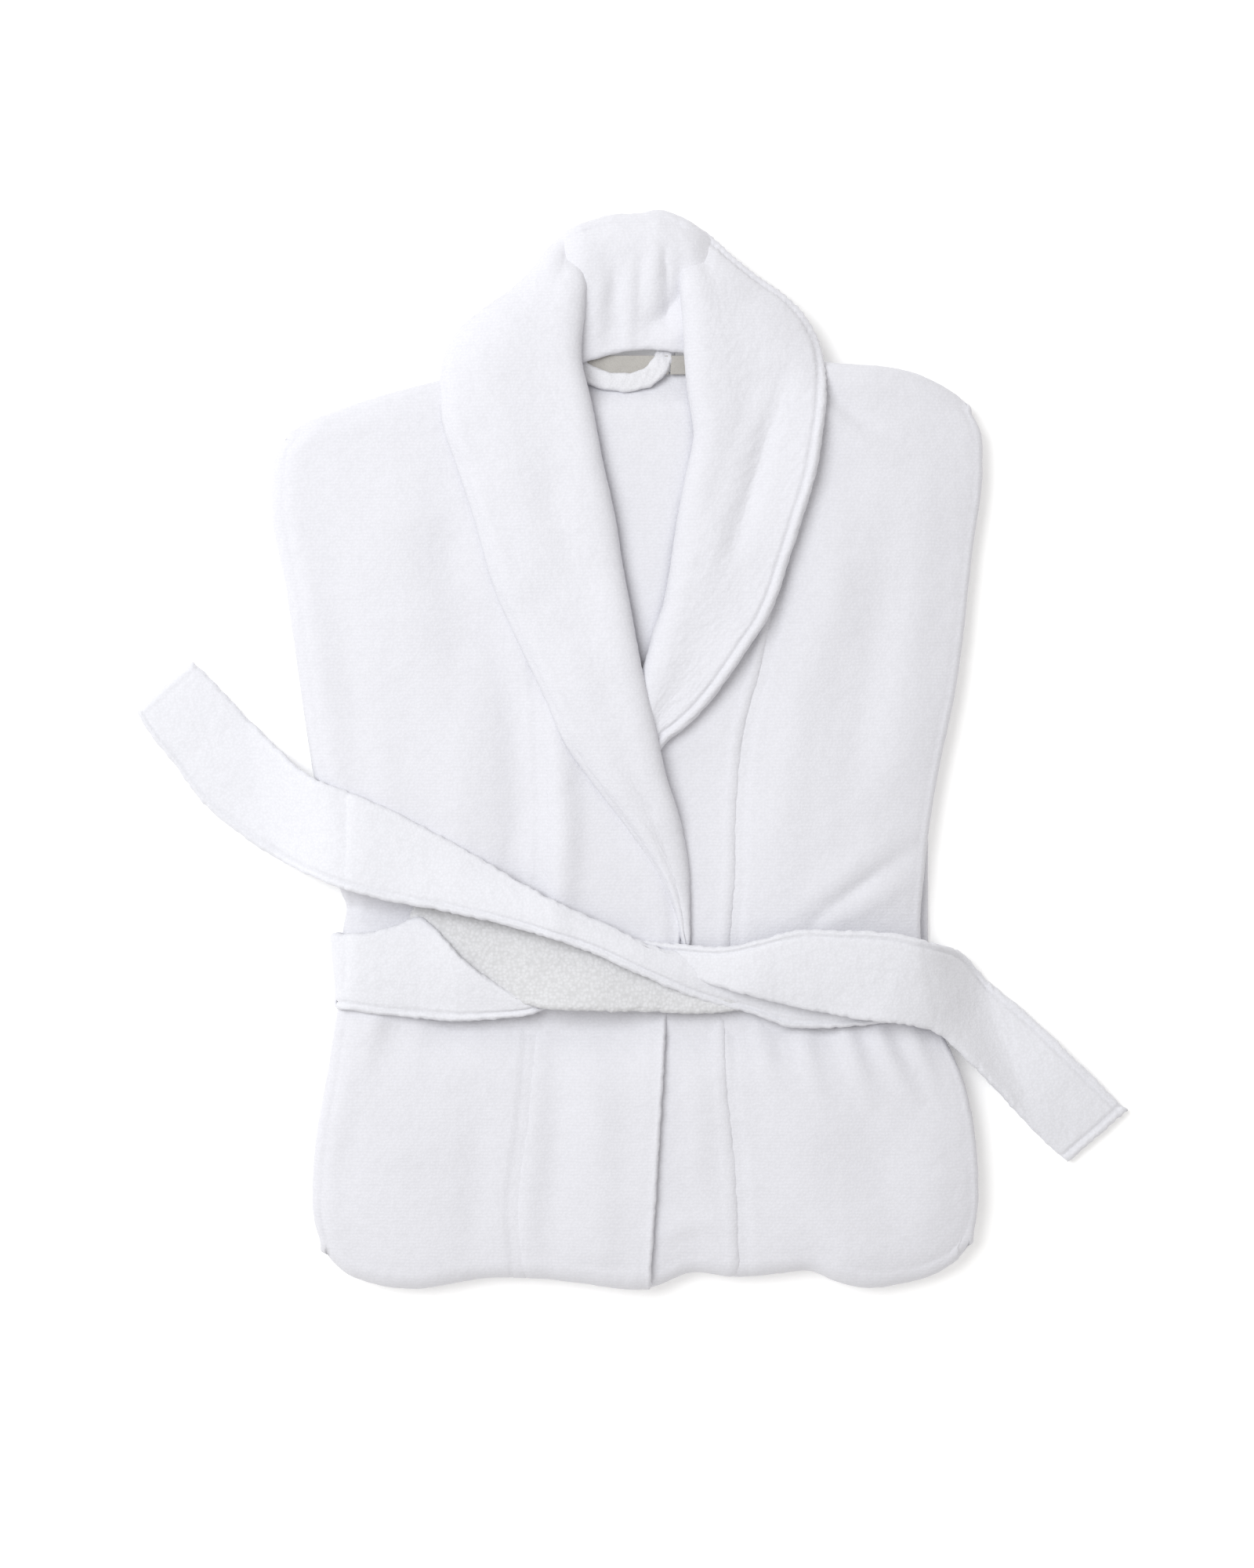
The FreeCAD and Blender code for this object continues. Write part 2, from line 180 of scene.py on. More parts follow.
RIGHT_SIDE = x_of_y([
    (-0.93, 0.6), (-0.985, 0.56), (-1.0, 0.5), (-0.955, 0.29), (-0.885, -0.03), (-0.81, -0.26),
    (-0.8, -0.4), (-0.835, -0.57), (-0.885, -0.78), (-0.888, -0.86), (-0.862, -0.925),
    (-0.81, -0.965),
])
LEFT_SIDE = x_of_y([
    (0.955, 0.64), (0.985, 0.6), (0.992, 0.53), (0.964, 0.37), (0.915, 0.12), (0.87, -0.02),
    (0.83, -0.2), (0.82, -0.38), (0.86, -0.5), (0.93, -0.61), (0.972, -0.79), (0.972, -0.87),
    (0.945, -0.93), (0.88, -0.965),
])
SHOULDER = y_of_x([
    (-1.0, 0.56), (-0.95, 0.595), (-0.82, 0.632), (-0.54, 0.685), (-0.25, 0.73), (0.25, 0.735),
    (0.55, 0.718), (0.84, 0.69), (0.95, 0.645), (1.0, 0.6),
])
BOTTOM = y_of_x([
    (-0.9, -0.88), (-0.87, -0.925), (-0.8, -0.965), (-0.72, -0.984), (-0.62, -0.99),
    (-0.5, -0.98), (-0.4, -0.971), (-0.3, -0.972), (-0.15, -0.98), (0.05, -0.99),
    (0.17, -0.962), (0.3, -0.97), (0.42, -0.963), (0.51, -0.958), (0.58, -0.975), (0.66, -0.988),
    (0.76, -0.985), (0.86, -0.97), (0.93, -0.94), (0.98, -0.89),
])
RIGHT_BAND_SEAM = x_of_y([
    (-0.46, 0.72), (-0.41, 0.54), (-0.31, 0.32), (-0.25, 0.095), (-0.243, -0.04), (-0.24, -0.17),
    (-0.26, -0.32), (-0.28, -0.56), (-0.3, -0.7), (-0.325, -0.85), (-0.31, -0.98),
])
LEFT_BAND_SEAM = x_of_y([
    (0.46, 0.74), (0.41, 0.4), (0.39, 0.23), (0.365, 0.15), (0.32, 0.04), (0.298, -0.11),
    (0.294, -0.24), (0.28, -0.35), (0.267, -0.57), (0.295, -0.78), (0.308, -0.97),
])
PLACKET = x_of_y([
    (-0.06, 0.3), (0.04, -0.01), (0.115, -0.2), (0.14, -0.3), (0.138, -0.36), (0.113, -0.42),
    (0.1, -0.49), (0.092, -0.58), (0.075, -0.76), (0.062, -0.9), (0.05, -1.0),
])
RIGHT_ROLL = curve(scaled([
    (-0.155, 0.93), (-0.143, 0.91), (-0.136, 0.815), (-0.142, 0.72), (-0.113, 0.637),
    (-0.081, 0.529), (-0.048, 0.434), (-0.021, 0.325), (-0.003, 0.263), (0.026, 0.161),
    (0.067, 0.042), (0.1, -0.053), (0.133, -0.132), (0.157, -0.238), (0.161, -0.29),
    (0.163, -0.36),
]))
RIGHT_LAPEL_EDGE = curve(scaled([
    (-0.145, 0.978), (-0.205, 0.957), (-0.236, 0.937), (-0.275, 0.902), (-0.344, 0.857),
    (-0.425, 0.82), (-0.5, 0.775), (-0.535, 0.725), (-0.54, 0.68), (-0.53, 0.6),
    (-0.5, 0.542), (-0.445, 0.434), (-0.385, 0.3), (-0.3, 0.177), (-0.24, 0.095),
    (-0.186, 0.0145), (-0.113, -0.053), (-0.032, -0.122), (0.06, -0.209), (0.115, -0.283),
    (0.145, -0.36),
]))
LEFT_ROLL = curve(scaled([
    (0.135, 0.935), (0.138, 0.923), (0.143, 0.82), (0.15, 0.72), (0.158, 0.661), (0.174, 0.579),
    (0.15, 0.503), (0.125, 0.415), (0.101, 0.313), (0.084, 0.263), (0.058, 0.22), (0.044, 0.18),
    (0.016, 0.119), (-0.008, 0.05),
]))
LEFT_LAPEL_EDGE = curve(scaled([
    (0.15, 0.988), (0.212, 0.966), (0.238, 0.947), (0.282, 0.918), (0.357, 0.878),
    (0.433, 0.843), (0.481, 0.811), (0.519, 0.77), (0.542, 0.715), (0.55, 0.661), (0.538, 0.579),
    (0.517, 0.503), (0.481, 0.427), (0.444, 0.352), (0.405, 0.275), (0.379, 0.238), (0.34, 0.2),
    (0.275, 0.137), (0.198, 0.073), (0.15, 0.042), (0.101, 0.017), (0.06, -0.02),
]))


# ---- height of the front

# Soft folds of the fronts as (line of (x, y, strength), width, height), in millimetres.
FRONT_FOLDS = [
    # Short ones where the belt pulls the cloth in, above and below it.
    ([(64, -190, 1), (66, -214, 0.6), (70, -240, 0)], 6, 2.4),
    ([(88, -190, 0.8), (94, -218, 0.7), (104, -250, 0)], 7, 2.6),
    ([(120, -196, 0.9), (126, -225, 0.6), (136, -262, 0)], 7, 3.0),
    ([(150, -196, 1), (158, -222, 0.7), (170, -255, 0)], 7, 4.0),
    ([(172, -196, 1), (181, -216, 0.8), (200, -250, 0)], 6, 4.2),
    ([(194, -194, 1), (207, -222, 0.6), (220, -262, 0)], 6, 3.4),
    ([(-150, -190, 0.7), (-156, -240, 0)], 10, 2.4),
    ([(-180, -190, 0.9), (-190, -235, 0)], 8, 3.0),
    ([(-110, -190, 0.5), (-112, -240, 0)], 10, 1.8),
    ([(205, -40, 0), (160, -78, 0.9), (110, -118, 0.4)], 12, 2.4),
    ([(200, -66, 0.2), (162, -92, 0.9), (128, -118, 0.5)], 6, -2.6),
    ([(204, -84, 0.2), (170, -104, 0.9), (140, -120, 0.5)], 8, 2.0),
    ([(215, 60, 0), (190, 0, 0.7), (150, -60, 0)], 22, 3.2),
    ([(-190, -70, 0), (-160, -84, 0.7), (-130, -100, 0.3)], 9, 2.2),
    ([(-212, -108, 1), (-165, -114, 1), (-135, -118, 0.4)], 11, -8.0),
    # Broad ones above the belt.
    ([(-60, 60, 0), (-50, -10, 0.9), (-48, -70, 1.0), (-52, -122, 0.7)], 11, 5.5),
    ([(-112, 120, 0), (-84, 40, 0.8), (-78, -40, 1), (-84, -104, 0.8)], 15, -5.0),
    ([(-120, 60, 0), (-118, -20, 0.8), (-124, -96, 0.6)], 15, 2.6),
    ([(-180, 236, 0), (-166, 160, 0.9), (-158, 90, 0.6), (-150, 20, 0)], 34, 3.4),
    ([(-140, 226, 0), (-128, 150, 0.9), (-120, 70, 0.8), (-112, 20, 0)], 17, -2.6),
    ([(-196, 60, 0), (-176, 10, 0.8), (-172, -60, 0.5)], 18, 2.4),
    ([(-210, 120, 0.4), (-196, 40, 0.8), (-190, -30, 0.4)], 12, -2.2),
    ([(132, 252, 0.9), (156, 234, 0.8), (188, 214, 0)], 8, -3.0),
    ([(140, 234, 0.9), (163, 216, 0.7), (190, 198, 0)], 10, 3.0),
    ([(146, 190, 0), (140, 120, 0.8), (118, 40, 0.9), (104, -40, 0.7), (96, -110, 0.2)], 18, 3.0),
    ([(176, 180, 0), (172, 100, 0.9), (158, 10, 0.9), (150, -50, 0.3)], 17, -2.6),
    ([(206, 200, 0.2), (204, 120, 0.9), (190, 30, 0.7), (184, -20, 0.2)], 17, 2.4),
    # Broad ones between the belt and the bottom fold.
    ([(-26, -215, 0.3), (-22, -270, 0.8), (-20, -350, 0.8)], 13, 2.6),
    ([(-54, -205, 0.4), (-54, -280, 0.9), (-58, -350, 0.5)], 13, -4.2),
    ([(60, -330, 0.4), (36, -332, 0.9), (20, -338, 0.3)], 9, 2.4),
    ([(46, -220, 0.3), (46, -280, 0.9), (50, -330, 0)], 10, 2.0),
    ([(-150, -230, 0.2), (-158, -280, 0.9), (-150, -340, 0.4)], 34, 3.0),
    ([(-196, -250, 0), (-204, -300, 0.8), (-196, -345, 0.2)], 12, -2.0),
    ([(-110, -220, 0), (-108, -280, 0.7), (-112, -350, 0.6)], 12, -2.0),
    ([(110, -235, 0.2), (122, -270, 0.9), (130, -320, 0.2)], 24, 3.2),
    ([(160, -240, 0.2), (172, -290, 0.9), (180, -350, 0.3)], 17, -2.8),
    ([(205, -250, 0), (214, -300, 1), (208, -345, 0.5)], 16, 2.4),
    ([(110, -310, 0), (150, -352, 1), (180, -360, 0.5)], 12, 2.0),
]

# How the cloth drops at its outline: how far in the drop starts, and how deep it is.
RIGHT_DROP = (14, 8)
LEFT_DROP = (12, 2.5)
SHOULDER_DROP = (16, 7)
BOTTOM_DROP = (64, 8)
# The wearer's left also slopes away from this far in.
LEFT_SLOPE_REACH = 74
# The sides drop less below the first of these heights and more above the second.
THIN_BELOW, FULL_ABOVE = -230, -150
# How much higher the cloth stands than the CAD's flat panels.
LOFT = 5.0


def side_distance(x, y):
    """How far inside the nearer side a point is."""
    return np.maximum(np.minimum(x - RIGHT_SIDE(y), LEFT_SIDE(y) - x), 0)


def side_fall(x, y):
    """The wearer's right edge is crisp and the left one falls away slowly."""
    right = fall(np.maximum(x - RIGHT_SIDE(y), 0), *RIGHT_DROP)
    inside = np.maximum(LEFT_SIDE(y) - x, 0)
    slope = np.clip(1 - inside / LEFT_SLOPE_REACH, 0, 1) ** 1.6
    slope_drop = 7.0 + 4.0 * step(THIN_BELOW, FULL_ABOVE, y)
    return right + slope_drop * slope + fall(inside, *LEFT_DROP)


def fall(distance, reach, drop):
    """How far a pillowy shape has dropped at a distance from its outline."""
    return drop * (1 - round_edge(distance, reach))


def front_height(x, y):
    """The top of the front cloth, before any band, lapel or belt lies on it."""
    edges = side_fall(x, y) + fall(np.maximum(SHOULDER(x) - y, 0), *SHOULDER_DROP)
    edges = edges + fall(np.maximum(y - BOTTOM(x), 0), *BOTTOM_DROP)
    deepest = 9.8 + 5.0 * step(THIN_BELOW, FULL_ABOVE, y)
    waist = -11.0 * bump(y, WAIST_LOW - 8, 24) * step(10, 80, side_distance(x, y))
    soft = 0.9 * noise(x, y, 85, 3) + 0.5 * noise(x, y, 38, 4) + 0.25 * noise(x, y, 17, 5)
    smooth = FRONT_TOP + LOFT - np.minimum(edges, deepest) + waist + soft
    return smooth + ridges(x, y, FRONT_FOLDS)


def right_height(x, y):
    """The wearer's right front rises a little where it lies on the left one."""
    return front_height(x, y) + 1.4 * step(-130, -50, x)


def left_height(x, y):
    """The wearer's left front lies lower where the right one covers it."""
    return front_height(x, y) - 2.5 * step(120, 40, x)


# ---- meshes

def new_object(name, points, faces):
    """A mesh from points in millimetres and four-sided faces."""
    mesh = bpy.data.meshes.new(name)
    mesh.vertices.add(len(points))
    mesh.vertices.foreach_set("co", (points * MM).astype(np.float32).ravel())
    mesh.loops.add(faces.size)
    mesh.loops.foreach_set("vertex_index", faces.astype(np.int32).ravel())
    mesh.polygons.add(len(faces))
    starts = np.arange(0, faces.size, faces.shape[1], dtype=np.int32)
    mesh.polygons.foreach_set("loop_start", starts)
    mesh.polygons.foreach_set("use_smooth", np.ones(len(faces), bool))
    mesh.update(calc_edges=True)
    mesh.validate()
    obj = bpy.data.objects.new(name, mesh)
    bpy.context.scene.collection.objects.link(obj)
    return obj


def spread(length, spacing, edge=0.0, ends=(True, True)):
    """Positions from 0 to length, crowded into a round edge of that radius at the named ends."""
    turn = edge * (1 - np.cos(np.radians([0, 24, 46, 68])))
    start = edge if ends[0] else 0
    stop = length - (edge if ends[1] else 0)
    inner = np.linspace(start, stop, max(int(round((stop - start) / spacing)), 1) + 1)
    before = turn if ends[0] else []
    after = length - turn[::-1] if ends[1] else []
    return np.concatenate([before, inner, after])


def lengths(grid):
    """How far each point lies along its row and its column, in millimetres."""
    down = np.linalg.norm(np.diff(grid, axis=0), axis=2)
    over = np.linalg.norm(np.diff(grid, axis=1), axis=2)
    rows = np.concatenate([np.zeros((1, grid.shape[1])), np.cumsum(down, axis=0)])
    cols = np.concatenate([np.zeros((grid.shape[0], 1)), np.cumsum(over, axis=1)], axis=1)
    return cols, rows


def unit(vectors):
    return vectors / np.maximum(np.linalg.norm(vectors, axis=-1, keepdims=True), 1e-9)


def seam(distance, place, depth, width=1.3):
    """How the thickness dips along a row of stitches that far in from an edge."""
    return 1 - depth * bump(distance, place, width)


FUZZ_SIZE = 2.6
WOBBLE_SIZE = 3.4


def cloth(name, grid, thick, pile=0.16, shape=None, seed=11, frayed=0.5):
    """A closed sheet of terry round a grid of middle points. The thickness rounds off to nothing
    at all four edges. shape(cols, rows) scales the thickness, for seams and beads. pile is how
    high the fuzz stands, and frayed is how far the edges wander."""
    cols, rows = lengths(grid)
    across = np.minimum(cols, cols[:, -1:] - cols)
    along = np.minimum(rows, rows[-1:, :] - rows)
    edge = thick / 2
    body = round_edge(across, edge) * round_edge(along, edge)
    over = unit(np.gradient(grid, axis=1))
    down = unit(np.gradient(grid, axis=0))
    normal = unit(np.cross(over, down))
    side = np.sign(cols / np.maximum(cols[:, -1:], 1e-9) - 0.5)[..., None]
    end = np.sign(rows / np.maximum(rows[-1:, :], 1e-9) - 0.5)[..., None]
    outward = np.where((across < along)[..., None], over * side, down * end)
    rim = np.minimum(across, along) < edge * 0.9
    wobble = frayed * noise(cols, rows, WOBBLE_SIZE, seed + 4) * rim
    middle = grid + outward * wobble[..., None]
    half = edge * body
    if shape is not None:
        half = half * shape(cols, rows)

    def fuzz(s):
        fine, coarse = noise(cols, rows, FUZZ_SIZE, s), noise(cols, rows, 2 * FUZZ_SIZE, s + 7)
        return pile * (fine + 0.8 * coarse) * np.sqrt(body)

    top = middle + normal * (half + fuzz(seed))[..., None]
    bottom = middle - normal * (half + fuzz(seed + 2))[..., None]
    n_rows, n_cols = grid.shape[:2]
    index = np.arange(n_rows * n_cols).reshape(n_rows, n_cols)
    inside = np.zeros((n_rows, n_cols), bool)
    inside[1:-1, 1:-1] = True
    under = index.copy()
    under[inside] = n_rows * n_cols + np.arange(inside.sum())
    faces = []
    for sheet, turn in ((index, 1), (under, -1)):
        quad = np.stack([sheet[:-1, :-1], sheet[:-1, 1:], sheet[1:, 1:], sheet[1:, :-1]], axis=-1)
        faces.append(quad.reshape(-1, 4)[:, ::turn])
    points = np.concatenate([top.reshape(-1, 3), bottom[inside]])
    return new_object(name, points, np.concatenate(faces))


def add_cloth(
    name, grid, thick, slot, nodes, held, rests_on, body="torso", bend=None, finish=None, **look
):
    obj = cloth(f"{name}_cloth", grid, thick, **look)
    obj.data.materials.append(MATERIALS[finish or slot])
    if bend is None:
        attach(obj, body)
    else:
        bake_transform(obj)
    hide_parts(*nodes)


# ---- materials

WAVE_LENGTH = 0.314  # of a wave texture at scale 1


def terry(name, dark, light, loop=1.9, rib=2.3, rib_share=0.25, depth=0.22):
    """Cut terry: small loops in faint ribs across the robe. The colour is darker where the pile is
    low, between the loops, as painted shade in the pile's gaps.
    """
    material = bpy.data.materials.new(name)
    material.use_nodes = True
    nodes, links = material.node_tree.nodes, material.node_tree.links

    def add(kind, values):
        node = nodes.new(kind)
        for socket, value in values.items():
            node.inputs[socket].default_value = value
        return node

    def mix(share, first, second):
        """A blend of two values: share of the second, the rest of the first."""
        node = add("ShaderNodeMix", {"Factor": share})
        links.new(first, node.inputs["A"])
        links.new(second, node.inputs["B"])
        return node.outputs["Result"]

    place = nodes.new("ShaderNodeTexCoord")
    loops = add("ShaderNodeTexVoronoi", {"Scale": 1 / (loop * MM)})
    clumps = add("ShaderNodeTexNoise", {"Scale": 1 / (7 * MM), "Detail": 3})
    broad = add("ShaderNodeTexNoise", {"Scale": 1 / (60 * MM)})
    ribs = add("ShaderNodeTexWave", {
        "Scale": WAVE_LENGTH / (rib * MM), "Distortion": 2.5, "Detail Scale": 1.5,
    })
    ribs.bands_direction = "Y"
    for texture in (loops, clumps, broad, ribs):
        links.new(place.outputs["Object"], texture.inputs["Vector"])

    tips = add("ShaderNodeMapRange", {
        "From Min": 0.0, "From Max": 0.75, "To Min": 1.0, "To Max": 0.0,
    })
    links.new(loops.outputs["Distance"], tips.inputs["Value"])
    pile = mix(rib_share, tips.outputs[0], ribs.outputs["Fac"])
    height = mix(0.35, pile, clumps.outputs["Fac"])
    # The colour follows the pile's height, darker between the loops as painted shade, mixed with a
    # broad random tone.
    painted_shade_and_tone = mix(0.30, height, broad.outputs["Fac"])

    shader = nodes["Principled BSDF"]
    shader.inputs["Specular IOR Level"].default_value = 0.15
    shader.inputs["Sheen Weight"].default_value = 0.25
    shader.inputs["Sheen Roughness"].default_value = 0.6

    colour = nodes.new("ShaderNodeValToRGB")
    for end, position, shade in zip(colour.color_ramp.elements, (0.22, 0.66), (dark, light)):
        end.position = position
        end.color = (*shade, 1)
    links.new(painted_shade_and_tone, colour.inputs["Fac"])
    links.new(colour.outputs["Color"], shader.inputs["Base Color"])

    rough = add("ShaderNodeMapRange", {"To Min": 1.0, "To Max": 0.86})
    links.new(height, rough.inputs["Value"])
    links.new(rough.outputs[0], shader.inputs["Roughness"])

    bumps = add("ShaderNodeBump", {"Strength": depth, "Distance": 1.1 * MM})
    links.new(height, bumps.inputs["Height"])
    links.new(bumps.outputs["Normal"], shader.inputs["Normal"])
    return material


MATERIALS = {
    "white_terry": terry("white_terry", (0.652, 0.651, 0.690), (0.706, 0.706, 0.749)),
    "belt_terry": terry(
        "belt_terry", (0.672, 0.673, 0.710), (0.728, 0.731, 0.773), rib_share=0.12,
    ),
    # The belt's reverse has coarser, deeper loops, and its colour is darker than the belt's as painted
    # shade on the twist under the knot.
    "belt_reverse_painted_shade": terry(
        "belt_reverse_painted_shade", (0.57, 0.57, 0.582), (0.685, 0.686, 0.706), loop=2.4, rib_share=0.1, depth=0.4,
    ),
    "terry_tape": terry(
        "terry_tape", (0.635, 0.634, 0.663), (0.725, 0.726, 0.76), loop=1.3, rib=1.2,
    ),
    # Dark woven cloth: the label's own colour, and on the neck tape painted shade for the hollow
    # behind the hang loop.
    "label_cloth": terry(
        "label_cloth", (0.36, 0.345, 0.325), (0.47, 0.455, 0.43), loop=0.6, rib=0.6,
    ),
}


# ---- folded panels

SHOULDER_R = 6.5
SPACING = 2.4
# Upper and lower panels meet under the belt, and overlap there by this much each way.
SPLIT = (WAIST_TOP + WAIST_LOW) / 2
OVERLAP = 7
# How high the lips under the sides lie, and how far they reach in.
LIP_ABOVE_SLEEVES, UPPER_LIP = 12.4, 44
LIP_ABOVE_SKIRT, LOWER_LIP = 14.8, 40
# How far the side rolls stand out past the face.
UPPER_ROLL_OUT, LOWER_ROLL_OUT = 3.6, 2.6
# The lip of the fronts behind the shoulders.
SHOULDER_LIP = 36
FOLD_ANGLES = np.linspace(0, 180, 23)[1:]
# The turned sides are pressed flat to this share of their depth behind the bottom fold.
PRESSED = 0.4
# A height in the bottom fold, and the skirt named with two points just above and below it.
BEND_AT = 10.6 * MM
SKIRT_BEND = (
    "skirt", (0, -HALF_H * MM, BEND_AT + 0.000001), (0, -HALF_H * MM, BEND_AT - 0.000001),
)


def level_at(height):
    """An end, or something to rest on, that is the same all the way across."""
    return lambda x: height + 0 * x


def face_grid(near, far, height, top, bottom, long_edge, flat_edges):
    """Points on the front between two edges, given as x against y, and two ends, as y against x."""
    width = abs(far(0.0) - near(0.0))
    long = abs(float(top(near(0.0))) - float(bottom(near(0.0))))
    u = spread(width, SPACING, PLY / 2, flat_edges) / width
    v = spread(long, SPACING, PLY / 2, long_edge) / long
    u, v = np.meshgrid(u, v)
    first_guess = 200
    y = first_guess * (1 - 2 * v)
    x = near(y) + (far(y) - near(y)) * u
    # Each edge depends on the other axis, so x and y settle together.
    for _ in range(40):
        y = 0.5 * y + 0.5 * (top(x) + (bottom(x) - top(x)) * v)
        x = 0.5 * x + 0.5 * (near(y) + (far(y) - near(y)) * u)
    return np.stack([x, y, height(x, y) - PLY / 2], axis=2)


def turned_side(face, sign, lip_level, reach):
    """Adds the side roll and the lip under it. Returns the grid with how deep each column lies."""
    radius = np.maximum((face[:, -1, 2] - lip_level) / 2, 1.0)[:, None]
    angles = np.radians(np.linspace(0, 180, 13)[1:])[None, :]
    run = np.linspace(0, reach, int(reach / 6) + 1)[None, 1:]
    out = np.concatenate([radius * np.sin(angles), -run + 0 * radius], axis=1)
    depth = np.concatenate([radius * (1 - np.cos(angles)), 2 * radius + 0 * run], axis=1)
    end = face[:, -1:, :]
    x = end[..., 0] + sign * out
    y = end[..., 1] + 0 * out
    base = np.concatenate([face, np.stack([x, y, end[..., 2] + 0 * out], axis=2)], axis=1)
    return base, np.concatenate([np.zeros(face.shape[:2]), depth], axis=1)


def row_at(row, depth, angle, radius, run, way, squeeze=1.0):
    """One row of points taken round a fold by angle, and then run on behind."""
    turn = np.radians(angle)
    deep = depth * squeeze
    y = row[:, 1] + way * ((radius - deep) * np.sin(turn) - run)
    z = row[:, 2] - radius * (1 - np.cos(turn)) - deep * np.cos(turn)
    return np.stack([row[:, 0], y, z], axis=1)


def upper_panel(near, far, sign, height, top, roll=True, sided=True):
    """A front or back above the belt: shoulder lip and roll, face, and a side turned under."""
    r = SHOULDER_R if roll else 0
    side = UPPER_ROLL_OUT if sided else 0
    face = face_grid(
        near, lambda y: far(y) - sign * side, height, lambda x: top(x) - r,
        level_at(SPLIT - OVERLAP), (not roll, True), (True, not sided),
    )
    depth = np.zeros(face.shape[:2])
    if sided:
        face, depth = turned_side(face, sign, LIP_ABOVE_SLEEVES, UPPER_LIP)
    rows = []
    if roll:
        first, deep = face[0], depth[0]
        rows += [row_at(first, deep, 180, r, run, 1) for run in np.linspace(SHOULDER_LIP, 5, 7)]
        rows += [row_at(first, deep, a, r, 0, 1) for a in np.linspace(180, 0, 13)[:-1]]
    rows += [row_at(row, deep, 0, 0, 0, 1) for row, deep in zip(face, depth)]
    return np.stack(rows)


def lower_panel(near, far, sign, height, under, sided=True):
    """The same cloth below the belt: face, the fold at the bottom, and the skirt behind."""
    side = LOWER_ROLL_OUT if sided else 0

    def bottom(x):
        edge = BOTTOM(x)
        return edge + (height(x, edge) - PLY / 2 - under(x)) / 2

    face = face_grid(
        near, lambda y: far(y) - sign * side, height, level_at(SPLIT + OVERLAP), bottom,
        (True, False), (True, not sided),
    )
    depth = np.zeros(face.shape[:2])
    if sided:
        face, depth = turned_side(face, sign, LIP_ABOVE_SKIRT, LOWER_LIP)
    rows = [row_at(row, deep, 0, 0, 0, -1) for row, deep in zip(face, depth)]
    last, deep = face[-1], depth[-1]
    radius = (last[:, 2] - under(last[:, 0])) / 2
    for angle in FOLD_ANGLES:
        squeeze = 1 - (1 - PRESSED) * float(step(0, 150, angle))
        rows.append(row_at(last, deep, angle, radius, 0, -1, squeeze))
    reach = SKIRT_END - float(last[:, 1].mean())
    for run in spread(reach, 6.0, PLY / 2, (False, True))[1:]:
        row = row_at(last, deep, 180, radius, run, -1, PRESSED)
        row[:, 1] = last[:, 1] + (SKIRT_END - last[:, 1]) * run / reach
        row[:, 0] *= 1 - 0.13 * step(0, 160, run) + 0.07 * step(300, 580, run)
        rows.append(row)
    return np.stack(rows)


# The rolls of the two lapels, as the sides of the neck opening.
NECK_RIGHT = x_of_y([
    (-0.142, 0.72), (-0.081, 0.529), (-0.021, 0.325), (0.026, 0.161), (0.09, -0.02),
])
NECK_LEFT = x_of_y([
    (0.15, 0.72), (0.174, 0.579), (0.125, 0.415), (0.084, 0.263), (0.016, 0.119), (-0.02, 0.05),
])


def back_height(x, y):
    """The inside of the back, full in the neck opening and dipping at the hang loop."""
    loop_dip, fullness = 5.0, 7.0
    dip = -loop_dip * step(240, 268, y) * bump(x, 0, 60)
    inside = np.minimum(x - NECK_RIGHT(y), NECK_LEFT(y) - x)
    rise = fullness * step(-13, 4, inside) * step(262, 235, y)
    return high("back_panel", 2) + 0.5 * noise(x, y, 45, 21) + dip + rise


LEFT_BAND_EDGE = x_of_y([
    (0.19, 0.74), (0.2, 0.6), (0.19, 0.5), (0.165, 0.38), (0.12, 0.286), (0.06, 0.15),
    (0.0, 0.06), (-0.08, -0.05), (-0.13, -0.25), (-0.15, -0.5), (-0.17, -1.0),
])


def make_fronts():
    """Both fronts above the belt, then the same cloth below it and behind."""
    lap = 5.0

    def groove(cols, rows):
        return seam(cols, place=2 * lap + 2, depth=0.12, width=1.6)

    def outline(sign, height, band_seam, far):
        def near(y):
            return band_seam(y) - sign * lap

        def surface(x, y):
            """A little lower where the band is seamed on."""
            return height(x, y) - 0.9 * step(2 * lap, lap, sign * (x - band_seam(y)))

        return near, far, sign, surface

    fronts = [
        ("right", outline(-1, right_height, RIGHT_BAND_SEAM, RIGHT_SIDE), 31),
        ("left", outline(1, left_height, LEFT_BAND_SEAM, LEFT_SIDE), 41),
    ]
    for side, panel, seed in fronts:
        add_cloth(
            f"{side}_front", upper_panel(*panel, SHOULDER), PLY, "white_terry",
            [f"{side}_front_panel", f"{side}_upper_side_fold"], "laid", ["back_panel"],
            shape=groove, seed=seed,
        )
    for side, panel, seed in fronts:
        add_cloth(
            f"{side}_front_skirt", lower_panel(*panel, level_at(PLY / 2)), PLY, "white_terry",
            [f"{side}_front_skirt", f"{side}_front_fold", f"{side}_lower_side_fold"],
            "folded", ["back_panel"], bend=SKIRT_BEND, shape=groove, seed=seed + 1,
        )


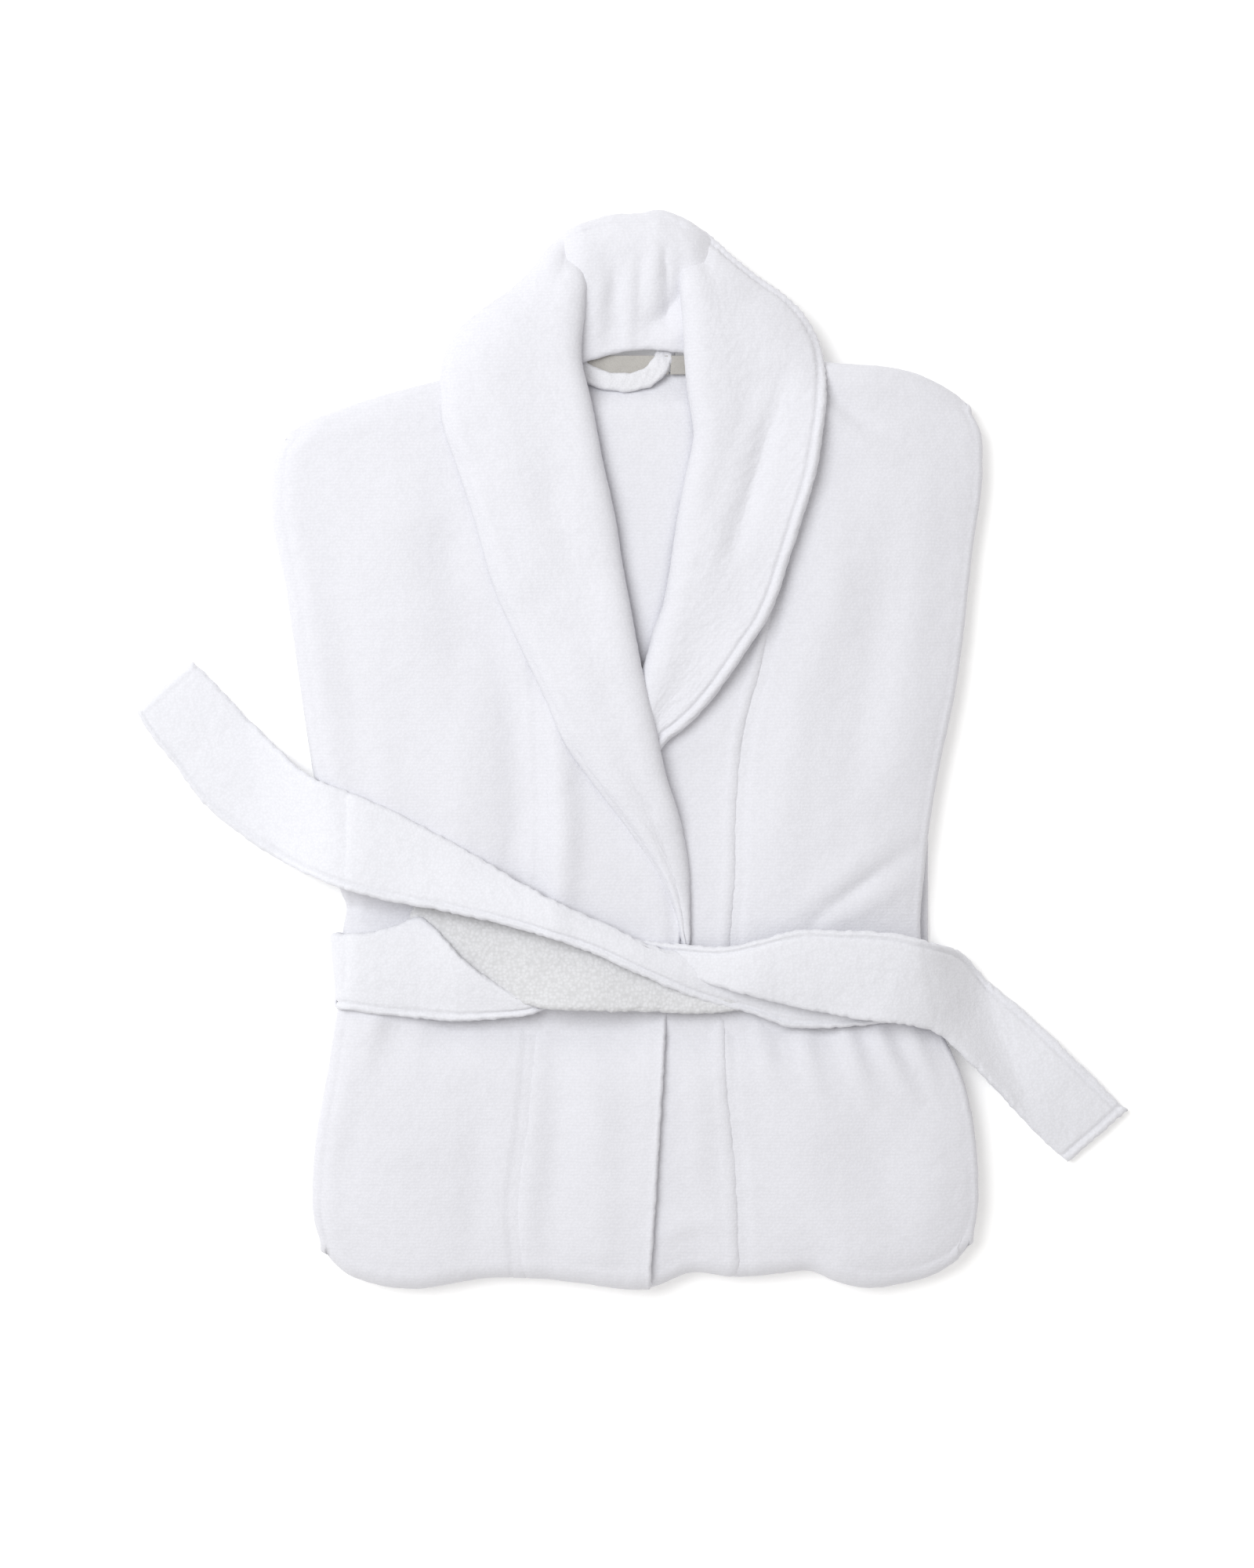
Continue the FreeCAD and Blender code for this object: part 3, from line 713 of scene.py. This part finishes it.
def make_bands():
    """The strips along both openings, from their seams to their free or covered edges."""
    def flush(inward):
        """Thinner towards the seam, so that the band meets the front without a step."""
        return 0.5 + 0.5 * step(0, 8, inward)

    def right_shape(cols, rows):
        free = cols[:, -1:] - cols
        bead = 1 + 0.25 * bump(free, 2.0, 1.8)
        return seam(free, place=5.0, depth=0.42) * bead * flush(cols)

    def left_shape(cols, rows):
        return flush(cols[:, -1:] - cols)

    def right_band_height(x, y):
        """The free edge curls up below the belt, and is tucked down above it."""
        curl = 2.2 * np.exp(-((np.maximum(PLACKET(y) - x, 0) / 20) ** 2))
        below = step(WAIST_LOW + 20, WAIST_LOW - 20, y)
        tucked = 2.0 * step(14, 4, PLACKET(y) - x)
        return right_height(x, y) + 0.5 + curl * below - tucked * (1 - below)

    def left_band_height(x, y):
        return left_height(x, y) + 0.4 + 1.3 * bump(LEFT_BAND_SEAM(y) - x, 4.5, 3.0)

    def left_under(x):
        """Behind, the left band lies on the right one where they overlap."""
        return PLY / 2 + 4.2 * step(36, 14, x)

    bands = [
        ("right", (RIGHT_BAND_SEAM, PLACKET, 1, right_band_height), level_at(0.30 * HALF_H),
         level_at(PLY / 2), ["right_skirt_band"], ["left_front_band"], right_shape, 51),
        ("left", (LEFT_BAND_EDGE, LEFT_BAND_SEAM, 1, left_band_height), level_at(0.66 * HALF_H),
         left_under, [], ["back_panel"], left_shape, 61),
    ]
    for side, outline, top, under, skirt_nodes, rests_on, shape, seed in bands:
        add_cloth(
            f"{side}_band", upper_panel(*outline, top, False, False), PLY, "white_terry",
            [f"{side}_front_band"], "laid", rests_on, shape=shape, seed=seed,
        )
        add_cloth(
            f"{side}_skirt_band", lower_panel(*outline, under, False), PLY, "white_terry",
            skirt_nodes, "folded", rests_on, bend=SKIRT_BEND, shape=shape, seed=seed + 1,
        )


def make_back():
    """The back, a little narrower than the fronts that turn round it."""
    inset = 7.0

    def right(y):
        return RIGHT_SIDE(y) + inset

    def left(y):
        return LEFT_SIDE(y) - inset + 5.0 * bump(y, -275, 70)

    def top(x):
        return SHOULDER(x) - 12

    under = level_at((low("back_skirt", 2) + high("back_skirt", 2)) / 2 - 0.4)
    add_cloth(
        "back", upper_panel(right, left, 1, back_height, top, False, False), PLY,
        "white_terry", ["back_panel"], "laid", ["right_sleeve", "left_sleeve"], seed=71,
    )
    add_cloth(
        "back_skirt", lower_panel(right, left, 1, back_height, under, False), PLY,
        "white_terry", ["back_skirt", "back_fold"], "folded", ["left_front_skirt"],
        bend=SKIRT_BEND, seed=72,
    )


# ---- sleeves

def slab_grid(node, spacing=3.5, past=0.0, inset=0.0):
    """A flat grid that fills a node's box, seen from above, past its far end or inside its sides."""
    edge = (high(node, 2) - low(node, 2)) / 2
    x = spread(high(node, 0) - low(node, 0) - 2 * inset, spacing, edge) + low(node, 0) + inset
    y = high(node, 1) + past - spread(high(node, 1) - low(node, 1) + past, spacing, edge)
    x, y = np.meshgrid(x, y)
    z = (low(node, 2) + high(node, 2)) / 2 + 0 * x
    return np.stack([x, y, z], axis=2)


def make_sleeves():
    """The folded sleeves behind the back, and their turned-back cuffs."""
    for side in ("right", "left"):
        for part in ("sleeve", "cuff"):
            node = f"{side}_{part}"
            add_cloth(
                node, slab_grid(node), high(node, 2) - low(node, 2) - 0.8, "white_terry",
                [node], "folded", ["back_skirt"], seed=81 if part == "cuff" else 85,
            )


# ---- lapels and collar

COLLAR_TOP = y_of_x([
    (-0.44, 0.79), (-0.36, 0.83), (-0.27, 0.89), (-0.236, 0.925), (-0.166, 0.966),
    (-0.112, 0.98), (-0.058, 0.99), (0.022, 0.992), (0.083, 0.998), (0.115, 0.992),
    (0.174, 0.972), (0.212, 0.955), (0.26, 0.92), (0.36, 0.865), (0.46, 0.8),
])
NECK_SEAM = y_of_x([
    (-0.44, 0.7), (-0.2, 0.715), (-0.13, 0.722), (-0.03, 0.74), (0.05, 0.745), (0.15, 0.738),
    (0.46, 0.72),
])
LAPEL = 8.0
# A leaf narrower than this is thinner and rolls less.
FULL_WIDTH = 60


def lapel_grid(roll, edge, height, raised, rows, leaf_cols, lip=26.0, across=11.0, down=5.5):
    """A lapel from the lip under it, round the roll, over the leaf to the free edge. The roll
    reaches across from the fold to its crown, and down from the crown to the fold's side."""
    t = spread(1.0, 1.0 / rows, 0.012)
    inner, outer = roll(t), edge(t)
    width = np.linalg.norm(outer - inner, axis=1)
    away = unit(outer - inner)
    share = spread(100.0, 100.0 / leaf_cols, 4.0, (False, True)) / 100.0
    inner = inner + away * (LAPEL / 2 * np.minimum(1, width / FULL_WIDTH))[:, None]
    width = np.linalg.norm(outer - inner, axis=1)
    radius = np.minimum(across, 0.42 * width)
    drop = down * radius / across
    turn = np.radians(np.linspace(180, 0, 13))[:-1]
    under = np.linspace(lip, 4, 6)
    reaches = [radius + np.minimum(run, 0.5 * width) for run in under]
    reaches += [radius * (1 - math.sin(a)) for a in turn]
    reaches += [radius + (width - radius) * s for s in share]
    lifts = [-2 * drop for _ in under]
    lifts += [-drop * (1 - math.cos(a)) for a in turn]
    lifts += [0 * drop for _ in share]
    plan = inner[:, None, :] + away[:, None, :] * np.stack(reaches, axis=1)[..., None]
    lift = np.stack(lifts, axis=1)
    s = np.concatenate([np.zeros(len(under) + len(turn)), share])[None, :]
    x, y = plan[..., 0], plan[..., 1]
    z = height(x, y) + LAPEL / 2 + lift + raised(x, y, s, width[:, None] * (1 - s))
    return np.stack([x, y, np.maximum(z, LAPEL / 2)], axis=2)


BETWEEN_LAPELS = np.linspace(-34, 36, 40)
COLLAR_OUTLINE = np.concatenate([
    RIGHT_LAPEL_EDGE(np.linspace(0, 0.5, 90))[::-1],
    np.stack([BETWEEN_LAPELS, COLLAR_TOP(BETWEEN_LAPELS) + 1.5], axis=1),
    LEFT_LAPEL_EDGE(np.linspace(0, 0.5, 90)),
])


def collar_fall(x, y):
    """How far the collar drops towards the table where it reaches past the shoulders."""
    away = np.full(np.shape(x), np.inf)
    for px, py in COLLAR_OUTLINE:
        away = np.minimum(away, np.hypot(x - px, y - py))
    return step(0.60 * HALF_H, 0.78 * HALF_H, y) * fall(away + 2, 44, 25)


def make_lapels():
    """Both leaves of the shawl collar, the right one on top where they cross."""
    creases = [
        ([(118, 300, 0), (84, 246, 0.9), (70, 190, 0.4)], 12, -2.2),
        ([(100, 262, 0), (82, 214, 1), (62, 150, 0.3)], 11, 2.4),
        ([(60, 300, 0), (92, 322, 0.8), (122, 322, 0)], 13, -1.8),
        ([(48, 190, 0), (62, 130, 0.8), (52, 80, 0)], 12, 1.8),
        ([(108, 262, 0.3), (94, 222, 1), (80, 170, 0.9), (63, 124, 0.2)], 9, -4.2),
        ([(-100, 280, 0), (-86, 200, 0.8), (-60, 110, 0)], 20, 1.8),
        ([(-60, 250, 0), (-52, 170, 1), (-26, 90, 0.4)], 13, -1.6),
        ([(-58, 330, 0), (-96, 318, 0.8), (-124, 290, 0)], 15, 1.8),
        ([(-44, 80, 0), (-34, 44, 0.9), (-6, 10, 0.2)], 10, 1.7),
        ([(-10, 20, 0.4), (10, -30, 0.9), (28, -90, 0.3)], 9, -1.4),
    ]

    def soft(x, y):
        return 0.9 * noise(x, y, 52, 91) + 0.45 * noise(x, y, 24, 92) + ridges(x, y, creases)

    def lap_top(x, y):
        """The fronts run level where the collar passes the shoulder line."""
        return front_height(x, np.minimum(y, 0.58 * HALF_H))

    def top_end(y, s):
        """The leaves sink into the back of the collar where their creases end."""
        roll_end = 9.0 * np.exp(-((s / 0.5) ** 2)) * step(0.84 * HALF_H, 0.92 * HALF_H, y)
        return 4.5 * step(0.88 * HALF_H, 0.955 * HALF_H, y) + roll_end

    def thinned(rows):
        return 0.12 + 0.88 * step(2, 34, rows)

    def right_raised(x, y, s, from_edge):
        puff = 3.4 * np.exp(-((s / 0.28) ** 2)) * step(-110, 20, y)
        crown = 2.0 * np.sin(np.pi * np.clip(s, 0, 1)) ** 2
        overlap = 2.6 + 2.5 * bump(x, 5, 40) * bump(y, 20, 60) - 2.5 * step(-20, -100, y)
        sunk = fall(from_edge, 18, 5.9) + collar_fall(x, y) + top_end(y, s)
        return soft(x, y) + puff + crown + overlap - sunk

    def left_raised(x, y, s, from_edge):
        puff = 2.6 * np.exp(-((s / 0.25) ** 2))
        stand = 3.5 * np.exp(-((from_edge / 26) ** 2)) * step(-10, 60, y) * step(300, 200, y)
        tip = -3.0 * step(70, 10, y)
        return soft(x, y) + puff + stand + tip - collar_fall(x, y) - top_end(y, s)

    def beaded(cols, rows):
        free = cols[:, -1:] - cols
        full = 1 + 0.25 * np.exp(-((free / 11) ** 2))
        return seam(free, 7.0, 0.34, 1.6) * full * thinned(rows)

    def edged(cols, rows):
        free = cols[:, -1:] - cols
        slim = np.clip(cols[:, -1:] / FULL_WIDTH, 0.35, 1)
        return seam(free, 6.5, 0.22, 1.8) * (0.45 + 0.55 * step(0, 16, free)) * thinned(rows) * slim

    add_cloth(
        "right_lapel", lapel_grid(RIGHT_ROLL, RIGHT_LAPEL_EDGE, lap_top, right_raised, 300, 62),
        LAPEL, "white_terry", ["right_lapel"], "folded", ["right_front_panel"],
        shape=edged, seed=101, pile=0.18, frayed=0.3,
    )
    add_cloth(
        "left_lapel", lapel_grid(LEFT_ROLL, LEFT_LAPEL_EDGE, lap_top, left_raised, 260, 60),
        LAPEL, "white_terry", ["left_lapel"], "folded", ["left_front_panel"],
        shape=beaded, seed=111, pile=0.18, frayed=0.4,
    )


def make_collar_back():
    """The collar behind the neck, gathered into its seam, rising to a fold at the top."""
    thick, left_end, right_end = 7.0, -68.0, 72.0
    x = left_end + spread(right_end - left_end, 2.0, thick / 2)
    v = spread(90.0, 2.0, thick / 2, (True, False)) / 90.0
    x, v = np.meshgrid(x, v)
    top_r = 5.5
    y = NECK_SEAM(x) + (COLLAR_TOP(x) - top_r - NECK_SEAM(x)) * v
    folds = [
        ([(-38, 276, 0.9), (-36, 325, 1), (-34, 352, 0.2)], 13, 3.6),
        ([(-24, 280, 0.2), (-23, 318, 1), (-21, 345, 0)], 5.5, 2.2),
        ([(-13, 286, 0), (-12, 326, 0.8), (-12, 350, 0)], 5, -1.5),
        ([(-3, 282, 0.8), (-2, 318, 0.9), (0, 345, 0)], 4.0, 1.6),
        ([(6, 300, 0), (6, 330, 0.7), (7, 352, 0)], 4.0, -1.2),
        ([(14, 300, 0), (16, 336, 1), (18, 362, 0)], 5.0, 2.6),
        ([(26, 292, 0.2), (24, 320, 0.5), (23, 342, 1), (22, 358, 0)], 4, -2.2),
        ([(12, 300, 0.3), (24, 307, 0.9), (34, 320, 1), (35, 350, 0.3)], 7, -5.0),
        ([(14, 286, 0), (28, 290, 0.9), (42, 300, 0.5)], 7, 2.4),
    ]
    z = 26.0 + 5.5 * step(0, 0.65, v) + 4.5 * step(0.6, 0.95, v) - np.minimum(collar_fall(x, y), 24)
    z = z + 0.5 * noise(x, y, 20, 121) - 7.0 * step(34, 58, np.abs(x - 2)) + ridges(x, y, folds)
    face = np.stack([x, y, z], axis=2)
    last, deep = face[-1], np.zeros(face.shape[1])
    radius = np.minimum(top_r, (last[:, 2] - thick / 2) / 2)
    rows = list(face)
    rows += [row_at(last, deep, angle, radius, 0, 1) for angle in np.linspace(0, 180, 13)[1:]]
    rows += [row_at(last, deep, 180, radius, run, 1) for run in np.linspace(4, 30, 6)]
    add_cloth(
        "collar_back", np.stack(rows), thick, "white_terry", ["collar_back"], "folded",
        ["neck_tape"], seed=125, pile=0.22, frayed=0.5,
    )


# ---- neck trim

def make_neck_trim():
    # The label is dark cloth of its own; the neck tape gets the same dark colour as painted shade in
    # the hollow behind the hang loop.
    for node in ("neck_tape", "neck_label"):
        add_cloth(
            node, slab_grid(node, 1.5, past=4.0), high(node, 2) - low(node, 2), "label_cloth",
            [node], "laid", ["back_panel"], pile=0.05, frayed=0.1, seed=131,
        )


def make_hang_loop():
    """A tape that leaves the neck seam, runs along it and goes back in."""
    tape = 13.5
    line = curve([(-38, 271), (-28, 263.5), (-9, 258.8), (5, 260), (16, 266), (22, 275), (24, 284)])
    t = spread(1.0, 1 / 70, 0.02)
    middle = line(t)
    ahead = unit(line(np.clip(t + 0.01, 0, 1)) - line(np.clip(t - 0.01, 0, 1)))
    side = np.stack([-ahead[:, 1], ahead[:, 0]], axis=1)
    across = spread(tape, 0.9, 2.2) - tape / 2
    plan = middle[:, None, :] + side[:, None, :] * across[None, :, None]
    lift = 23.4 + (1.5 * np.sin(np.pi * t) - 4.0 * step(0.80, 1.0, t))[:, None] + 0 * across[None, :]
    grid = np.concatenate([plan, lift[..., None]], axis=2)
    add_cloth(
        "hang_loop", grid, 5.5, "terry_tape", ["hang_loop"], "laid", ["back_panel"],
        body="loop", seed=141, pile=0.3, frayed=0.9,
    )


# ---- belt

BELT_T, BELT_WIDTH = 7.0, 58.0
# How much the belt follows the cloth under it; for the rest it bridges the hollows.
BELT_FOLLOWS = 0.35
BELT_CROWN = 1.2


def under_belt(x, y, drape):
    """What the belt lies on: the robe, and the table past its sides."""
    outside = np.maximum(RIGHT_SIDE(y) - x, x - LEFT_SIDE(y))
    cloth_top = front_height(x, np.clip(y, WAIST_LOW, WAIST_TOP))
    on_robe = cloth_top * BELT_FOLLOWS + (1 - BELT_FOLLOWS) * (FRONT_TOP + 2.5)
    return on_robe * (1 - step(-6, drape, outside))


def ribbon(lower, upper, rows, cols, lift, seed, drape=50, ends=(True, True)):
    """A strip between two edges, given in the plane, laid on whatever is under the belt. Past the
    robe's side it comes down to the table over the length drape."""
    t = spread(1.0, 1.0 / rows, 0.008, ends)
    a, b = curve(lower)(t), curve(upper)(t)
    s = spread(BELT_WIDTH, BELT_WIDTH / cols, 3.0) / BELT_WIDTH
    plan = a[:, None, :] + (b - a)[:, None, :] * s[None, :, None]
    x, y = plan[..., 0], plan[..., 1]
    z = under_belt(x, y, drape) + BELT_T / 2 + lift(t[:, None], s[None, :])
    z = z + BELT_CROWN * np.sin(np.pi * s)[None, :] + 0.5 * noise(x, y, 22, seed)
    return np.stack([x, y, z], axis=2)


def wrapped(grid, sign, bulge=6.0, reach=60):
    """Carries a ribbon's first end round the robe's side and in behind it."""
    row = grid[0]
    radius = (row[:, 2] - BELT_BACK) / 2
    still = 0 * radius
    rows = []
    for angle in np.radians(np.linspace(0, 180, 12)[1:]):
        out = sign * bulge * np.sin(angle)
        rows.append(row + np.stack([out + still, still, -radius * (1 - np.cos(angle))], axis=1))
    for run in np.linspace(0, reach, 8)[1:]:
        rows.append(row + np.stack([-sign * run + still, still, -2 * radius], axis=1))
    return np.concatenate([np.stack(rows[::-1]), grid])


def belt_edge(free_first, end_depth=0.12):
    """The belt is a tube of terry closed by one row of stitches near one edge."""
    def shape(cols, rows):
        free = cols if free_first else cols[:, -1:] - cols
        end = np.minimum(rows, rows[-1:, :] - rows)
        bead = 1 + 0.12 * bump(free, 2.2, 1.8)
        return seam(free, 5.2, 0.42, 1.3) * bead * seam(end, 6.5, end_depth, 1.4)
    return shape


def add_belt(name, grid, nodes, rests_on, **look):
    add_cloth(
        name, grid, BELT_T, "belt_terry", nodes, "folded", rests_on,
        **{"pile": 0.18, "frayed": 0.8, **look},
    )


def tail_bend(name, before=15.0, after=25.0):
    """A belt tail's joint in the frame, with points before and after it along its direction."""
    joint = next(j for j in frame["joints"] if j["name"] == f"{name}_lift")
    x, y, z = joint["pos_m"]
    level = Vector((joint["axis"][1], joint["axis"][0], 0)).normalized()
    way = -1 if name == "right_tail" else 1
    along = Vector((way * abs(level.x), -way * abs(level.y), 0))
    place = Vector((x, y, z))
    return (name, tuple(place - along * before * MM), tuple(place + along * after * MM))


def make_belt_over_right():
    """From behind the wearer's left side, over the knot, to the tail on the wearer's right."""
    lower = [
        (203, -187), (172, -191), (136, -194), (107, -193), (87, -185), (51, -175), (8, -157),
        (-27, -141), (-79, -124), (-135, -111), (-162, -106), (-202, -96), (-244, -79),
        (-274, -61), (-300, -40), (-328, -4), (-345, 18), (-350, 28),
    ]
    upper = [
        (203, -139), (172, -137), (136, -138), (107, -142), (84, -143), (56, -142), (22, -138),
        (-16, -122), (-62, -100), (-105, -76), (-132, -60), (-165, -43), (-200, -28),
        (-225, -18), (-249, 1), (-279, 31), (-303, 56), (-311, 64),
    ]

    def lift(t, s):
        over = step(0.20, 0.36, t) * (1 - 0.65 * step(0.70, 0.86, t))
        tuck = -2.5 * step(0.4, 1.0, s) * bump(t, 0.28, 0.10)
        hollow = 2.0 * (1 - s) ** 2 * bump(t, 0.58, 0.16)
        flat = -3.0 * step(0.55, 1.0, s) * bump(t, 0.50, 0.17)
        return over * (11.5 - 8.0 * s * step(0.45, 0.6, t)) + hollow + tuck + flat

    grid = ribbon(lower, upper, 330, 36, lift, 151, ends=(False, True))
    add_belt(
        "belt_over_right", wrapped(grid, 1),
        ["belt_waist_left", "left_belt_turn", "belt_over_right", "belt_right_tail"],
        ["right_front_panel", "left_front_panel"], bend=tail_bend("right_tail"),
        shape=belt_edge(True), seed=152,
    )


def make_belt_waist_right():
    """From behind the wearer's right side to the twist, where it folds over to its reverse."""
    lower = [
        (-198, -181), (-180, -184), (-162, -186), (-140, -188), (-120, -189), (-100, -188),
        (-80, -186), (-64, -182), (-50, -176),
    ]
    upper = [
        (-203, -128), (-186, -127), (-168, -123), (-148, -116), (-133, -128), (-120, -143),
        (-95, -162), (-74, -174), (-56, -179),
    ]

    def lift(t, s):
        lifted = 4.0 * step(0.30, 0.60, t) * (0.35 + 0.65 * s) * step(1.02, 0.82, t)
        return 0.6 + lifted - 6.0 * step(0.86, 1.0, t)

    grid = ribbon(lower, upper, 110, 40, lift, 161, ends=(False, True))
    add_belt(
        "belt_waist_right", wrapped(grid, -1), ["belt_waist_right", "right_belt_turn"],
        ["right_front_panel"], shape=belt_edge(True), seed=162,
    )


def make_belt_twist():
    """The stretch under the knot that shows the belt's reverse, coloured darker than the belt as
    painted shade.
    """
    lower = [
        (-160, -128), (-140, -146), (-118, -160), (-95, -170), (-66, -179), (-33, -181),
        (2, -182), (43, -184), (75, -182),
    ]
    upper = [
        (-150, -100), (-130, -100), (-104, -104), (-78, -112), (-50, -122), (-22, -132),
        (8, -140), (43, -146), (78, -148),
    ]

    def lift(t, s):
        lower_edge = 14.0 * (1 - s) ** 2 * bump(t, 0.55, 0.22)
        return 3.5 * step(0.2, 0.6, t) - 4.0 - 0.5 * s + lower_edge

    add_belt(
        "belt_twist", ribbon(lower, upper, 120, 36, lift, 171), [], ["right_front_panel"],
        finish="belt_reverse_painted_shade", seed=172, pile=0.3, frayed=0.9,
    )


def make_belt_over_left():
    """From the knot over the wearer's left side to the tail there."""
    lower = [
        (-6, -146), (10, -150), (31, -156), (55, -163), (84, -171), (112, -178), (141, -184),
        (166, -188), (192, -191), (212, -197), (238, -219), (263, -245), (289, -273), (309, -291),
    ]
    upper = [
        (-14, -128), (6, -132), (34, -135), (68, -136), (90, -131), (114, -125), (146, -125),
        (187, -128), (207, -133), (230, -141), (252, -162), (284, -189), (318, -222), (351, -254),
    ]

    def lift(t, s):
        over = 11.5 * step(0.08, 0.28, t) * (1 - step(0.50, 0.68, t))
        return 1.5 + over + 4.5 * bump(t, 0.86, 0.09)

    add_belt(
        "belt_over_left", ribbon(lower, upper, 270, 38, lift, 181, drape=46),
        ["belt_over_left", "belt_left_tail"], ["left_front_panel"], bend=tail_bend("left_tail"),
        shape=belt_edge(False, 0.45), seed=182,
    )


def make_belt_back():
    """Behind the waist, a little short of both turns."""
    add_cloth(
        "belt_back", slab_grid("belt_back", 4.0, inset=9.0), BELT_PLY - 0.6, "belt_terry",
        ["belt_back"], "laid", ["back_skirt"], seed=191,
    )


def make_belt_loops():
    """Narrow tapes on the side seams that carry the belt, standing on edge round it."""
    for side, sign in (("right", -1), ("left", 1)):
        node = f"{side}_belt_loop"
        seam_x = (high if sign < 0 else low)(node, 0) - 6.0 * sign
        out_x = (low if sign < 0 else high)(node, 0) - 4.0 * sign
        top, bottom = high(node, 1) - 17, low(node, 1) + 1
        corner = [(3, 0), (1, 1), (0, 3)]
        path = [(seam_x, top)] + [(out_x - sign * a, top - b) for a, b in corner]
        path += [(out_x, (top + bottom) / 2)]
        path += [(out_x - sign * a, bottom + b) for a, b in corner[::-1]] + [(seam_x, bottom)]
        path = np.array(path)
        line = np.concatenate([[0], np.cumsum(np.linalg.norm(np.diff(path, axis=0), axis=1))])
        t = spread(line[-1], 1.2, 0.9)
        plan = np.stack([np.interp(t, line, path[:, k]) for k in (0, 1)], axis=1)
        z = low(node, 2) + spread(high(node, 2) - low(node, 2), 1.2, 0.9)
        grid = np.concatenate([
            np.repeat(plan[:, None, :], len(z), axis=1),
            np.repeat(z[None, :, None], len(plan), axis=0),
        ], axis=2)
        add_cloth(
            node, grid, 1.8, "terry_tape", [node], "stretched", ["belt_back"], seed=201,
            pile=0.1, frayed=0.2,
        )


# ---- floor, light and camera

def make_floor():
    """A pale floor that runs far past the picture."""
    bpy.ops.mesh.primitive_plane_add(size=80)
    floor = bpy.context.object
    floor.name = "floor"
    material = bpy.data.materials.new("pale_floor")
    material.use_nodes = True
    shader = material.node_tree.nodes["Principled BSDF"]
    shader.inputs["Base Color"].default_value = (0.97, 0.97, 0.97, 1)
    shader.inputs["Roughness"].default_value = 1.0
    shader.inputs["Specular IOR Level"].default_value = 0.0
    shader.inputs["Emission Color"].default_value = (1, 1, 1, 1)
    shader.inputs["Emission Strength"].default_value = 0.15
    floor.data.materials.append(material)


def make_light():
    """An even white room and one large soft window up and to the wearer's right."""
    world = bpy.data.worlds.new("studio")
    bpy.context.scene.world = world
    world.use_nodes = True
    room = world.node_tree.nodes["Background"]
    room.inputs["Color"].default_value = (1.0, 0.983, 0.96, 1)
    room.inputs["Strength"].default_value = 0.69
    window = bpy.data.lights.new("window", "AREA")
    window.shape = "DISK"
    window.size = 1.7
    window.energy = 43
    window.color = (0.965, 0.985, 1.0)
    obj = bpy.data.objects.new("window", window)
    obj.location = (-1.12, 0.66, 2.1)
    obj.rotation_euler = (-obj.location).to_track_quat("-Z", "Y").to_euler()
    bpy.context.scene.collection.objects.link(obj)
    bpy.context.scene.view_settings.view_transform = "Standard"


def make_camera():
    """Straight above the table, framing 1.1 m of it from top to bottom."""
    field, lens, sensor = 1.10, 75.0, 36.0
    centre_x, centre_y = -0.0033, -0.0231
    camera = bpy.data.cameras.new("camera")
    camera.lens = lens
    camera.sensor_width = sensor
    obj = bpy.data.objects.new("camera", camera)
    obj.location = (centre_x, centre_y, FRONT_TOP * MM + field * lens / sensor)
    bpy.context.scene.collection.objects.link(obj)
    bpy.context.scene.camera = obj


make_camera()
make_light()
make_floor()
make_fronts()
make_bands()
make_back()
make_sleeves()
make_lapels()
make_collar_back()
make_neck_trim()
make_hang_loop()
make_belt_over_right()
make_belt_waist_right()
make_belt_twist()
make_belt_over_left()
make_belt_back()
make_belt_loops()
bpy.context.view_layer.update()
